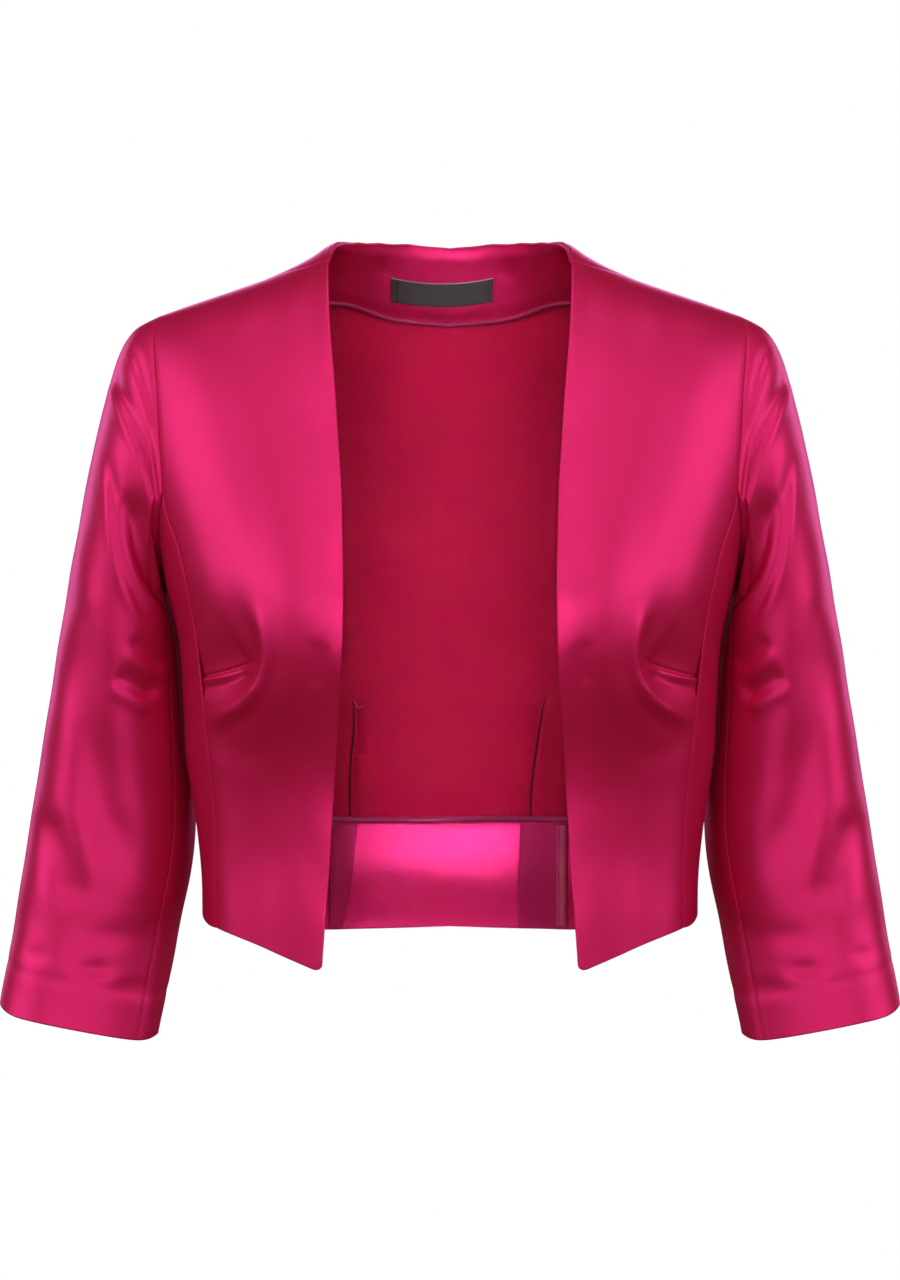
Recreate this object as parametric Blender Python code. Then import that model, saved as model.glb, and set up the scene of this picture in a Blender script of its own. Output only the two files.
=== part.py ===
"""Cropped satin bolero jacket in its worn form, with no wearer, and open at the front.

Metres, +Z up, the front faces -Y. The origin is midway between the shoulders, at the height
of the middle of the shoulder seams. The tables below are in millimetres, and "right" is +X.
"""

import bpy
import numpy as np

MM = 0.001

# Cloth thicknesses, and the gap between pieces
SHELL = 1.5
SKIN = 1.0
GAP = 0.3

# The torso is a rounded tube up to CHEST, and closes above it in an arch over the shoulders.
# Both curves are superellipses.
CHEST = -200.0
ROUND_ACROSS = 2.4
ROUND_OVER = 2.2
RIDGE_BACK = 8.0
SHOULDER_POINT = 194.7

# height, half width, front depth, back depth
TORSO = (
    (-450, 162.5, 95.5, 76.0),
    (-411, 163.0, 94.0, 73.0),
    (-388, 163.8, 93.0, 70.0),
    (-357, 166.4, 92.0, 67.0),
    (-326, 171.0, 92.5, 65.0),
    (-304, 173.9, 96.0, 66.0),
    (-274, 175.6, 103.0, 70.0),
    (-240, 177.7, 110.5, 74.0),
    (-219, 181.0, 112.0, 76.5),
    (-195, 187.0, 111.0, 79.5),
    (-172, 192.3, 108.0, 82.5),
    (-150, 197.5, 105.5, 85.0),
    (-100, 206.5, 101.0, 87.0),
    (0, 212.0, 95.0, 84.0),
    (40, 212.0, 92.0, 80.0),
)

# distance from the middle, height of the shoulder ridge
RIDGE = (
    (0, 115.0),
    (25, 104.0),
    (45, 78.0),
    (60, 53.4),
    (68, 40.5),
    (73.3, 34.2),
    (79.9, 30.6),
    (89.1, 24.1),
    (97, 19.5),
    (114.8, 10.9),
    (141.2, 1.0),
    (170.3, -8.9),
    (194.7, -17.6),
)

# distance from the middle, angle over the ridge that is 0 in front and 180 at the back
NECKLINE = (
    (0, 133.9),
    (25, 130.8),
    (45, 123.3),
    (60, 112.6),
    (68, 103.1),
    (73.3, 93.0),
    (77, 81.0),
    (80, 70.3),
)
SHOULDER_SEAM = ((80, 70.3), (98, 78.0), (118, 86.0), (155, 91.0), (194.7, 92.0))

# height, front edge, side edge of the front, side edge of the back: distances from the middle.
# Below the armhole the side edges are seams, and above it they are the armhole.
CUT = (
    (-450, 84.6, 152.4, 128.5),
    (-436, 83.5, 152.4, 129.0),
    (-411, 81.5, 152.4, 130.0),
    (-385, 79.4, 152.4, 131.0),
    (-359, 77.5, 152.4, 133.0),
    (-328, 75.1, 154.3, 136.5),
    (-294, 72.6, 158.0, 140.0),
    (-252, 69.4, 162.5, 144.3),
    (-227, 68.2, 165.2, 148.5),
    (-207, 67.9, 168.6, 153.0),
    (-185, 68.1, 173.1, 161.0),
    (-167, 68.5, 177.6, 170.0),
    (-150, 69.0, 184.0, 179.5),
    (-137, 69.4, 186.7, 186.0),
    (-118, 70.6, 188.0, 188.0),
    (-105, 71.5, 189.0, 189.0),
    (-72, 73.8, 191.0, 191.0),
    (-39, 76.6, 193.4, 193.4),
    (-18, 78.3, 194.7, 194.7),
    (18, 80.0, 194.7, 194.7),
    (35, 80.4, 194.7, 194.7),
)

# Hem heights, and the rounded point at the foot of the front edge
FRONT_POINT = 83.5
FRONT_POINT_HEIGHT = -444.5
POINT_RADIUS = 7.0
SEAM_FOOT = 152.4
SEAM_FOOT_HEIGHT = -417.5
SIDE_FOOT_LIFT = 10.0
# distance from the middle, height
BACK_HEM = ((0, -423.0), (60, -424.5), (90, -424.5), (130, -416.5))
# distance from the middle, height of the lower edge of the neck facing
FACING_EDGE = ((0, -15.5), (40, -11.5), (80, -1.0), (120, -12.0), (160, -24.0), (194.7, -38.0))
HEM_FACING_TOP = -350.0

# The cup that the dart and the seam shape, and the pulls of the cloth at the dart
BUST_HEIGHT = -228.0
BUST_OUT = 98.0
BUST_REACH = 16.0
BUST_WIDTH = 45.0
BUST_ABOVE = 50.0
BUST_BELOW = 38.0
# distance from the middle, height, half width, half height, how far it stands out
DART_PULLS = (
    (137, -222, 11, 18, -3.5),
    (124, -266, 15, 11, 3.0),
    (88, -243, 10, 20, -1.6),
)

# Lowest point of the armhole, and how its lower edge falls away to it
ARMHOLE_FOOT = -195.0
ARMHOLE_FOOT_AT = 2 / 3
ARMHOLE_CURVE = 1.5

# The sleeve, a row for each section: outer point x, y and z, inner point x, y and z, half depth
SLEEVE = (
    (194.7, 2, -17.6, 186.0, 15, -195.0, 44),
    (209.5, 4, -27.0, 186.5, 17, -199.0, 47),
    (219.5, 5, -44.0, 184.3, 19, -206.5, 50),
    (228.5, 6, -75.0, 181.2, 22, -217.0, 52),
    (236.5, 8, -108.0, 178.2, 24, -231.0, 53),
    (246.0, 12, -157.0, 176.2, 26, -250.0, 53),
    (257.0, 17, -217.0, 174.0, 28, -277.0, 51),
    (268.2, 22, -285.0, 170.3, 29, -320.0, 48),
    (278.4, 22, -350.0, 170.0, 27, -368.0, 44),
    (288.0, 17, -412.0, 181.3, 20, -430.0, 38),
    (293.5, 12, -445.0, 187.2, 14, -462.0, 34),
    (298.0, 7, -476.0, 193.3, 8, -496.0, 31),
)
# Sections over which the armhole's shape turns into the sleeve's own
SLEEVE_CAP_SECTIONS = 4.0
SLEEVE_SEAM_SECTIONS = 7.0
# How far the sleeve stays from the torso's side, and the length over which it gets there
SLEEVE_CLEARANCE = 3.0
CLEARANCE_LENGTH = 20.0
# Length over which the folds grow below the armhole
FOLD_START = 60.0
# Angles of the two sleeve seams round a section: 0 is the outer point and 90 the front
SLEEVE_FRONT_SEAM = 140.0
SLEEVE_BACK_SEAM = 240.0
CUFF_CORNER_LIFT = 5.5
CUFF_CORNER_POWER = 10

# Largest folds of the sleeve. A row has the start x and z, the end x and z, half width, depth, and
# 1 where it lies on the front or -1 on the back.
SLEEVE_FOLDS = (
    (223, -65, 190, -138, 9, 3.5, 1),
    (228, -124, 214, -177, 11, 5.0, 1),
    (214, -177, 184, -208, 10, 6.0, 1),
    (240, -210, 234, -330, 13, 4.0, 1),
    (234, -330, 213, -392, 12, 3.5, 1),
    (270, -352, 246, -400, 12, 2.5, 1),
    (232, -120, 196, -190, 11, 4.5, -1),
    (246, -205, 200, -262, 12, 5.0, -1),
    (250, -262, 204, -318, 12, 4.0, -1),
)

# Rows and columns of the panels
FRONT_COLUMNS = 10
NECK_COLUMNS = 7
HEM_ROWS = 4
WAIST_ROWS = 6
ARCH_ROWS = 10
SEAM_TOP_ROW = 12
BACK_LOWER_ARCH = 5
BACK_UPPER_ARCH = 4
LOWER_ARCH_CURVE = 1.3
SIDE_COLUMNS = 9
# Column of the side panel where the front seam of the sleeve starts
SLEEVE_SEAM_COLUMN = 3
SLEEVE_RINGS = 24
FOLDED_SEAM = 0.85

# Piping, label, allowances and tucks
NECK_PIPING_RADIUS = 1.9
HEM_PIPING_RADIUS = 2.2
PIPING_END = 1.0
# left, right, foot, top
LABEL = (-41.0, 30.0, -1.7, 15.1)
ALLOWANCES = {
    "seam_allowance_right": (47.0, 82.0, -423.0, -353.0),
    "seam_allowance_left": (-81.0, -66.0, -423.5, -353.0),
}
TUCK_HEIGHT = 2.2
TUCK_TOP = -268.0
# x of the folded edge at its top, at its foot, width of the fold towards the side
TUCKS = ((-67.5, -67.5, 14.0), (66.0, 59.0, 16.0))

# colour (linear), roughness
SATIN = ((0.62, 0.012, 0.13), 0.32)
LINING_CLOTH = ((0.30, 0.006, 0.045), 0.7)
PIPING_CLOTH = ((0.25, 0.01, 0.06), 0.45)
LABEL_CLOTH = ((0.012, 0.011, 0.012), 0.6)


def smooth(table, column, at):
    """A column of a table at any value of its first one, along a smooth curve."""
    key, value = np.array(table, float)[:, [0, column]].T
    slope = np.gradient(value, key)
    at = np.clip(at, key[0], key[-1])
    i = np.clip(np.searchsorted(key, at) - 1, 0, len(key) - 2)
    step = key[i + 1] - key[i]
    t = (at - key[i]) / step
    return (
        (1 + 2 * t) * (1 - t) ** 2 * value[i]
        + t * (1 - t) ** 2 * step * slope[i]
        + t**2 * (3 - 2 * t) * value[i + 1]
        + t**2 * (t - 1) * step * slope[i + 1]
    )


def unit(vectors):
    return vectors / np.maximum(np.linalg.norm(vectors, axis=-1, keepdims=True), 1e-9)


def fade(t):
    """From 0 to 1 with level ends."""
    t = np.clip(t, 0, 1)
    return t * t * (3 - 2 * t)


def rest(share, power):
    """What is left of one axis of a superellipse at a share of the other."""
    return (1 - np.clip(np.abs(share), 0, 1) ** power) ** (1 / power)


def bell(offset, width):
    return np.exp(-((offset / width) ** 2) / 2)


def cup(x, z):
    """How far the front stands out at the bust, and sinks or rises beside the dart."""
    x = np.abs(x)
    width = np.where(z > BUST_HEIGHT, BUST_ABOVE, BUST_BELOW)
    out = BUST_REACH * bell(x - BUST_OUT, BUST_WIDTH) * bell(z - BUST_HEIGHT, width)
    for pull_x, pull_z, half_width, half_height, height in DART_PULLS:
        out = out + height * bell(x - pull_x, half_width) * bell(z - pull_z, half_height)
    return out


def torso(x, z, across, over, side):
    """A point of the torso: side is -1 in front and 1 at the back."""
    lift = np.clip((z - CHEST) / (smooth(RIDGE, 1, np.abs(x)) - CHEST), 0, 1)
    middle = RIDGE_BACK * lift * (1 - np.abs(x) / SHOULDER_POINT)
    depth = np.where(side < 0, smooth(TORSO, 2, z), smooth(TORSO, 3, z))
    y = middle + side * depth * across * over - np.where(side < 0, cup(x, z) * across * over, 0)
    return np.stack(np.broadcast_arrays(x, y, z), axis=-1)


def torso_at(x, z, side):
    """The torso at a place across and a height, below the shoulders."""
    lift = np.clip((z - CHEST) / (smooth(RIDGE, 1, np.abs(x)) - CHEST), 0, 1)
    across = rest(x / smooth(TORSO, 1, z), ROUND_ACROSS)
    return torso(x, z, across, rest(lift, ROUND_OVER), side)


def torso_side(points):
    """How far out the torso reaches at each point's height and depth."""
    y, z = points[..., 1], points[..., 2]
    depth = np.where(y < 0, smooth(TORSO, 2, z), smooth(TORSO, 3, z))
    return smooth(TORSO, 1, z) * rest(y / depth, ROUND_ACROSS)


def arch_height(x, angle):
    lift = np.sin(np.radians(angle)) ** (2 / ROUND_OVER)
    return CHEST + (smooth(RIDGE, 1, x) - CHEST) * lift


def arch_at(x, angle):
    """The torso at a place across and an angle over the shoulder ridge."""
    z = arch_height(x, angle)
    across = rest(x / smooth(TORSO, 1, z), ROUND_ACROSS)
    over = np.abs(np.cos(np.radians(angle))) ** (2 / ROUND_OVER)
    return torso(x, z, across, over, np.where(angle < 90, -1, 1))


def settle(place_at, height_at, start):
    """The place and height that agree with each other, where each depends on the other."""
    z = start
    for _ in range(40):
        x = place_at(z)
        z = height_at(x)
    return x, z


def front_hem(x):
    slope = (SEAM_FOOT_HEIGHT - FRONT_POINT_HEIGHT) / (SEAM_FOOT - FRONT_POINT)
    near = np.clip(1 - (x - FRONT_POINT) / POINT_RADIUS, 0, 1)
    corner = POINT_RADIUS * (1 - np.sqrt(1 - near**2))
    return FRONT_POINT_HEIGHT + slope * (x - FRONT_POINT) + corner


def front_panel():
    """Rows from the hem to the shoulder seam, columns from the front edge outwards."""
    share = np.arange(FRONT_COLUMNS + 1) / FRONT_COLUMNS

    def place(z):
        edge = smooth(CUT, 1, z)
        return edge + (smooth(CUT, 2, z) - edge) * share

    rows = []
    for row in range(HEM_ROWS + WAIST_ROWS + 1):
        t = row / (HEM_ROWS + WAIST_ROWS)
        start = np.full(share.shape, FRONT_POINT_HEIGHT * (1 - t) + CHEST * t)
        x, z = settle(place, lambda x: front_hem(x) * (1 - t) + CHEST * t, start)
        rows.append(torso_at(x, z, -1))
    for row in range(1, ARCH_ROWS + 1):
        t = row / ARCH_ROWS

        def height(x):
            return arch_height(x, smooth(SHOULDER_SEAM, 1, x) * t)

        x, z = settle(place, height, np.full(share.shape, CHEST * (1 - t)))
        rows.append(arch_at(x, smooth(SHOULDER_SEAM, 1, x) * t))
    return np.array(rows)


def back_half(front):
    """Rows from the hem to the neckline and shoulder seam, columns from the middle outwards."""
    neck = front[-1, 0, 0] * np.sin(np.pi / 2 * np.arange(NECK_COLUMNS) / NECK_COLUMNS)
    top = np.concatenate([neck, front[-1, :, 0]])
    share = top / top[-1]

    def place(z):
        return smooth(CUT, 3, z) * share

    def facing_angle(x):
        lift = (smooth(FACING_EDGE, 1, x) - CHEST) / (smooth(RIDGE, 1, x) - CHEST)
        return 180 - np.degrees(np.arcsin(lift ** (ROUND_OVER / 2)))

    def top_angle(x):
        seam = smooth(SHOULDER_SEAM, 1, x)
        return np.where(np.arange(len(share)) < NECK_COLUMNS, smooth(NECKLINE, 1, x), seam)

    levels = []
    for row in range(HEM_ROWS):
        t = row / HEM_ROWS
        levels.append(lambda x, t=t: smooth(BACK_HEM, 1, x) * (1 - t) + HEM_FACING_TOP * t)
    for row in range(WAIST_ROWS + 1):
        t = row / WAIST_ROWS
        levels.append(lambda x, t=t: np.full(x.shape, HEM_FACING_TOP * (1 - t) + CHEST * t))
    rows = []
    for level in levels:
        x, z = settle(place, level, np.full(share.shape, CHEST))
        rows.append(torso_at(x, z, 1))
    angles = []
    for row in range(1, BACK_LOWER_ARCH + 1):
        t = (row / BACK_LOWER_ARCH) ** LOWER_ARCH_CURVE
        angles.append(lambda x, t=t: 180 * (1 - t) + facing_angle(x) * t)
    for row in range(1, BACK_UPPER_ARCH + 1):
        t = row / BACK_UPPER_ARCH
        angles.append(lambda x, t=t: facing_angle(x) * (1 - t) + top_angle(x) * t)
    for angle in angles:

        def height(x):
            return arch_height(x, angle(x))

        x, z = settle(place, height, np.zeros(share.shape))
        rows.append(arch_at(x, angle(x)))
    back = np.array(rows)
    back[-1, NECK_COLUMNS:] = front[-1]
    return back


def side_panel(front, back):
    """Rows from the hem to the armhole, columns from the front seam to the back seam."""
    before, behind = front[: SEAM_TOP_ROW + 1, -1], back[: SEAM_TOP_ROW + 1, -1]

    def seam_angle(edge):
        share = edge[:, 0] / smooth(TORSO, 1, edge[:, 2])
        return np.arccos(np.clip(share, 0, 1) ** (ROUND_ACROSS / 2))

    columns = [before]
    for column in range(1, SIDE_COLUMNS):
        t = column / SIDE_COLUMNS
        if t < ARMHOLE_FOOT_AT:
            rise = (1 - t / ARMHOLE_FOOT_AT) ** ARMHOLE_CURVE
            top = ARMHOLE_FOOT + (before[-1, 2] - ARMHOLE_FOOT) * rise
        else:
            rise = ((t - ARMHOLE_FOOT_AT) / (1 - ARMHOLE_FOOT_AT)) ** ARMHOLE_CURVE
            top = ARMHOLE_FOOT + (behind[-1, 2] - ARMHOLE_FOOT) * rise
        foot = before[0, 2] * (1 - t) + behind[0, 2] * t + SIDE_FOOT_LIFT * np.sin(np.pi * t) ** 2
        share = [(edge[:, 2] - edge[0, 2]) / (edge[-1, 2] - edge[0, 2]) for edge in (before, behind)]
        z = foot + (top - foot) * (share[0] * (1 - t) + share[1] * t)
        angle = seam_angle(before) * (1 - t) - seam_angle(behind) * t
        x = smooth(TORSO, 1, z) * np.cos(angle) ** (2 / ROUND_ACROSS)
        across = np.abs(np.sin(angle)) ** (2 / ROUND_ACROSS)
        lift = np.clip((z - CHEST) / (smooth(RIDGE, 1, x) - CHEST), 0, 1)
        columns.append(torso(x, z, across, rest(lift, ROUND_OVER), np.where(angle > 0, -1, 1)))
    columns.append(behind)
    return np.stack(columns, axis=1)


def sleeve_section(at, angles):
    """The sleeve's own shape at a section number, before the armhole's shape is added."""
    table = [(number, *row) for number, row in enumerate(SLEEVE)]
    columns = np.array([smooth(table, column, at) for column in range(1, 8)])
    outer, inner, half_depth = columns[:3], columns[3:6], columns[6]
    cosine = np.cos(np.radians(angles))[:, None]
    sine = np.sin(np.radians(angles))
    points = (outer + inner) / 2 + (outer - inner) / 2 * cosine
    points[:, 1] -= half_depth * sine
    corner = fade(at - (len(SLEEVE) - 2)) * CUFF_CORNER_LIFT
    points[:, 2] += corner * np.abs(cosine[:, 0]) ** CUFF_CORNER_POWER
    return points


def fold_depth(points, normals):
    """How far each point of the sleeve sinks into its folds."""
    depth = np.zeros(points.shape[:-1])
    place = points[..., [0, 2]]
    for start_x, start_z, end_x, end_z, half_width, deep, side in SLEEVE_FOLDS:
        start, run = np.array([start_x, start_z]), np.array([end_x - start_x, end_z - start_z])
        along = np.clip(((place - start) @ run) / (run @ run), 0, 1)
        away = np.linalg.norm(place - start - along[..., None] * run, axis=-1)
        facing = np.clip(-side * normals[..., 1] * 2, 0, 1)
        depth = np.maximum(depth, deep * bell(away, half_width) * facing)
    return depth


def sleeve_angles(armhole, seams):
    """Angles of the columns at the armhole, where they follow its heights, and at the cuff."""
    top, foot = armhole[0, 2], armhole[:, 2].min()
    lowest = armhole[:, 2].argmin()
    high = np.clip(2 * (armhole[:, 2] - foot) / (top - foot) - 1, -1, 1)
    natural = np.degrees(np.arccos(high))
    natural[lowest:] = 360 - natural[lowest:]
    columns = np.arange(len(armhole))
    even = np.interp(
        columns,
        (0, seams[0], seams[1], len(armhole) - 1),
        (0, SLEEVE_FRONT_SEAM, SLEEVE_BACK_SEAM, 360),
    )
    return natural, even


def sleeve_tube(armhole, seams):
    """Rows from the armhole to the cuff; columns go round from the top by way of the front."""
    natural, even = sleeve_angles(armhole, seams)
    outer = np.array(SLEEVE)[:, :3]
    run = np.concatenate([[0], np.cumsum(np.linalg.norm(np.diff(outer, axis=0), axis=1))])
    sections = np.interp(np.linspace(0, run[-1], SLEEVE_RINGS), run, np.arange(len(run)))
    correction = armhole - sleeve_section(0.0, natural)
    tube = []
    for at in sections:
        turned = fade(at / SLEEVE_SEAM_SECTIONS)
        shape = sleeve_section(at, natural * (1 - turned) + even * turned)
        tube.append(shape + (1 - fade(at / SLEEVE_CAP_SECTIONS)) * correction)
    tube = np.array(tube)
    away = np.linspace(0, run[-1], SLEEVE_RINGS)[:, None]
    normals = unit(face_sums(tube, 1))
    sink = fold_depth(tube, normals) * fade(away / FOLD_START)
    sink[:, -1] = sink[:, 0]
    tube -= sink[..., None] * normals
    clear = torso_side(tube) + SLEEVE_CLEARANCE * fade(away / CLEARANCE_LENGTH)
    start = ARCH_ROWS + HEM_ROWS + WAIST_ROWS - SEAM_TOP_ROW
    foot = armhole[start : start + SIDE_COLUMNS + 1]
    below = np.interp(tube[..., 1], foot[:, 1], foot[:, 2]) - tube[..., 2]
    push = np.maximum(clear - tube[..., 0], 0) * fade(below / CLEARANCE_LENGTH + 0.5)
    tube[1:, :, 0] += push[1:]
    return tube


def face_sums(points, sign):
    """For each point of a grid, the sum of the normals of its faces, each as long as its area."""
    faces = sign * np.cross(points[1:, 1:] - points[:-1, :-1], points[1:, :-1] - points[:-1, 1:]) / 2
    total = np.zeros(points.shape)
    total[:-1, :-1] += faces
    total[1:, :-1] += faces
    total[:-1, 1:] += faces
    total[1:, 1:] += faces
    return total


def point_keys(points):
    return [tuple(p) for p in np.round(points.reshape(-1, 3), 4)]


def shared_normals(panels):
    """For each panel, one normal a point, shared with all of these panels that meet there."""
    total = {}
    for points, sign, _ in panels.values():
        for key, normal in zip(point_keys(points), face_sums(points, sign).reshape(-1, 3)):
            total[key] = total.get(key, 0) + normal
    return {
        name: unit(np.array([total[key] for key in point_keys(points)]).reshape(points.shape))
        for name, (points, _, _) in panels.items()
    }


def part_seams(points, own, shared, seams):
    """Moves the edges of a panel by half the gap, away from the panels that it meets."""
    sides = {
        "foot": ((0, slice(None)), (1, slice(None))),
        "top": ((-1, slice(None)), (-2, slice(None))),
        "first": ((slice(None), 0), (slice(None), 1)),
        "last": ((slice(None), -1), (slice(None), -2)),
    }
    shift = np.zeros(points.shape)
    for seam in seams:
        edge, inside = sides[seam]
        along = unit(np.gradient(points[edge], axis=0))
        aside = unit(np.cross(shared[edge], along))
        inwards = points[inside] - points[edge]
        inwards = unit(inwards - (inwards * along).sum(axis=-1, keepdims=True) * along)
        towards = ((inwards - 0.5 * own[edge]) * aside).sum(axis=-1, keepdims=True)
        aside = np.sign(towards) * aside
        met = 1 + (shift[edge] * aside).sum(axis=-1, keepdims=True)
        shift[edge] = (shift[edge] + aside) / np.maximum(met, 0.1)
    return points + shift * GAP / 2


def new_object(name, mesh, material, collection):
    mesh.materials.append(material)
    mesh.shade_smooth()
    obj = bpy.data.objects.new(name, mesh)
    collection.objects.link(obj)
    return obj


def wall(name, outer, inner, sign, material, collection):
    """A closed wall lofted between an outer and an inner grid of points."""
    rows, columns = outer.shape[:2]
    count = rows * columns

    def index(row, column):
        return row * columns + column

    faces = []
    for row in range(rows - 1):
        for column in range(columns - 1):
            a, b = index(row, column), index(row, column + 1)
            c, d = index(row + 1, column + 1), index(row + 1, column)
            faces.append((a, b, c, d) if sign > 0 else (a, d, c, b))
            back = (a, d, c, b) if sign > 0 else (a, b, c, d)
            faces.append(tuple(i + count for i in back))
    border = [index(0, column) for column in range(columns - 1)]
    border += [index(row, columns - 1) for row in range(rows - 1)]
    border += [index(rows - 1, column) for column in range(columns - 1, 0, -1)]
    border += [index(row, 0) for row in range(rows - 1, 0, -1)]
    if sign < 0:
        border.reverse()
    height = outer[..., 2].ravel().round(3)
    for here, after in zip(border, border[1:] + border[:1]):
        rim = (after, here, here + count, after + count)
        # Rims that face each other are split along the same diagonal
        faces.append(rim if height[after] < height[here] else rim[1:] + rim[:1])
    mesh = bpy.data.meshes.new(name)
    points = np.concatenate([outer.reshape(-1, 3), inner.reshape(-1, 3)]) * MM
    mesh.from_pydata(points.tolist(), [], faces)
    return new_object(name, mesh, material, collection)


def tube(name, path, radius, material, collection):
    curve = bpy.data.curves.new(name, "CURVE")
    curve.dimensions = "3D"
    curve.bevel_depth = radius * MM
    curve.bevel_resolution = 2
    curve.use_fill_caps = True
    spline = curve.splines.new("POLY")
    spline.points.add(len(path) - 1)
    for point, place in zip(spline.points, path * MM):
        point.co = (*place, 1)
    curve.materials.append(material)
    obj = bpy.data.objects.new(name, curve)
    collection.objects.link(obj)
    return obj


def sample(grid, row, column):
    """A grid's value between its rows and columns, or just past its edge."""
    r = np.clip(np.floor(row).astype(int), 0, grid.shape[0] - 2)
    c = np.clip(np.floor(column).astype(int), 0, grid.shape[1] - 2)
    u, v = (row - r)[..., None], (column - c)[..., None]
    low = grid[r, c] * (1 - v) + grid[r, c + 1] * v
    high = grid[r + 1, c] * (1 - v) + grid[r + 1, c + 1] * v
    return low * (1 - u) + high * u


def find_on(grid, x, z):
    """The row and column of a grid at a place across and a height."""
    row, column = np.full(x.shape, grid.shape[0] / 2), np.full(x.shape, grid.shape[1] / 2)
    for _ in range(60):
        here = sample(grid, row, column)
        right = sample(grid, row, column + 0.5) - sample(grid, row, column - 0.5)
        up = sample(grid, row + 0.5, column) - sample(grid, row - 0.5, column)
        column = column + 0.6 * (x - here[..., 0]) / right[..., 0]
        row = row + 0.6 * (z - here[..., 2]) / up[..., 2]
        row = np.clip(row, -0.1, grid.shape[0] - 1.0)
        column = np.clip(column, 0, grid.shape[1] - 1.0)
    return row, column


def mirrored(points):
    return points * np.array([-1, 1, 1])


def make_material(name, look):
    colour, roughness = look
    material = bpy.data.materials.new(name)
    material.use_nodes = True
    shader = material.node_tree.nodes["Principled BSDF"]
    shader.inputs["Base Color"].default_value = (*colour, 1)
    shader.inputs["Roughness"].default_value = roughness
    shader.inputs["Metallic"].default_value = 0
    return material


def make_shell(satin, collection):
    """The shell's panels on both sides. Returns the back's outer points and their normals."""
    front = front_panel()
    back = back_half(front)
    side = side_panel(front, back)
    armhole = np.concatenate([
        front[SEAM_TOP_ROW:, -1][::-1],
        side[-1, 1:],
        back[SEAM_TOP_ROW + 1 :, -1],
    ])
    side_start = ARCH_ROWS + HEM_ROWS + WAIST_ROWS - SEAM_TOP_ROW
    front_seam, back_seam = side_start + SLEEVE_SEAM_COLUMN, side_start + SIDE_COLUMNS
    sleeve = sleeve_tube(armhole, (front_seam, back_seam))
    under = sleeve[:, front_seam : back_seam + 1]
    over = np.concatenate([sleeve[:, back_seam:-1], sleeve[:, : front_seam + 1]], axis=1)
    body = {
        "front": (front, 1, ("top", "last")),
        "side": (side, 1, ("top", "first", "last")),
        "back": (back, -1, ("top", "last")),
    }
    sleeve = {
        "sleeve_top": (over, 1, ("foot", "first", "last")),
        "sleeve_under": (under, 1, ("foot", "first", "last")),
    }
    panels = {**body, **sleeve}
    own = {**shared_normals(body), **shared_normals(sleeve)}
    shared = shared_normals(panels)
    for normals in (own, shared):
        normals["back"][:, 0, 0] = 0
    for name, (points, sign, seams) in panels.items():
        outer = part_seams(points, own[name], shared[name], seams)
        folded = (own[name] * shared[name]).sum(axis=-1, keepdims=True) < FOLDED_SEAM
        normals = unit(np.where(folded, own[name], shared[name]))
        inner = outer - SHELL * normals
        if name == "back":
            whole = [np.concatenate([mirrored(g)[:, :0:-1], g], axis=1) for g in (outer, normals)]
            wall(name, whole[0], whole[0] - SHELL * whole[1], sign, satin, collection)
            continue
        wall(name + "_right", outer, inner, sign, satin, collection)
        wall(name + "_left", mirrored(outer), mirrored(inner), -sign, satin, collection)
    return whole


def make_skin(name, back, rows, depth, extra, material, collection):
    """A layer inside the back, between two of its rows, from a depth inwards."""
    points, normals = back
    step = GAP / 2 / np.linalg.norm(points[rows[1]] - points[rows[1] - 1], axis=-1).min()
    at = np.arange(rows[0], rows[1] + 1, dtype=float)
    at[0] += step if rows[0] > 0 else 0
    at[-1] -= step if rows[1] < len(points) - 1 else 0
    row, column = np.meshgrid(at, np.arange(points.shape[1], dtype=float), indexing="ij")
    place, normal = sample(points, row, column), unit(sample(normals, row, column))
    outer = place - depth * normal
    inner = outer - (SKIN + extra(outer))[..., None] * normal
    wall(name, outer, inner, -1, material, collection)


def no_extra(points):
    return np.zeros(points.shape[:-1])


def tuck_extra(points):
    """The lining is doubled in two tucks above the hem facing."""
    x, z = points[..., 0], points[..., 2]
    down = np.clip((TUCK_TOP - z) / (TUCK_TOP - HEM_FACING_TOP), 0, 1)
    extra = np.zeros(x.shape)
    for top_x, foot_x, width in TUCKS:
        edge = top_x + (foot_x - top_x) * down
        past = (x - edge) * np.sign(top_x)
        inside = (past > -width / 4) & (past < width) & (z < TUCK_TOP)
        extra = np.maximum(extra, np.where(inside, TUCK_HEIGHT, 0))
    return extra


def make_patch(name, back, box, cells, depth, thickness, material, collection):
    """A flat piece on the inside of the back: left, right, foot and top give its outline."""
    points, normals = back
    left, right, foot, top = box
    z, x = np.meshgrid(
        np.linspace(foot, top, cells[1] + 1),
        np.linspace(left, right, cells[0] + 1),
        indexing="ij",
    )
    row, column = find_on(points, x, z)
    place, normal = sample(points, row, column), unit(sample(normals, row, column))
    outer = place - depth * normal
    wall(name, outer, outer - thickness * normal, -1, material, collection)


def make_piping(name, back, row, drop, radius, depth, material, collection):
    """A round piping on the inside of the back, along one of its rows."""
    points, normals = back
    last = points.shape[1] - 1
    column = np.arange(1, last, dtype=float)
    column[0], column[-1] = PIPING_END, last - PIPING_END
    height = np.linalg.norm(points[row] - points[row - 1], axis=-1)[last // 2]
    at = np.full(column.shape, row - drop / height)
    place, normal = sample(points, at, column), unit(sample(normals, at, column))
    tube(name, place - (depth + radius) * normal, radius, material, collection)


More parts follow.
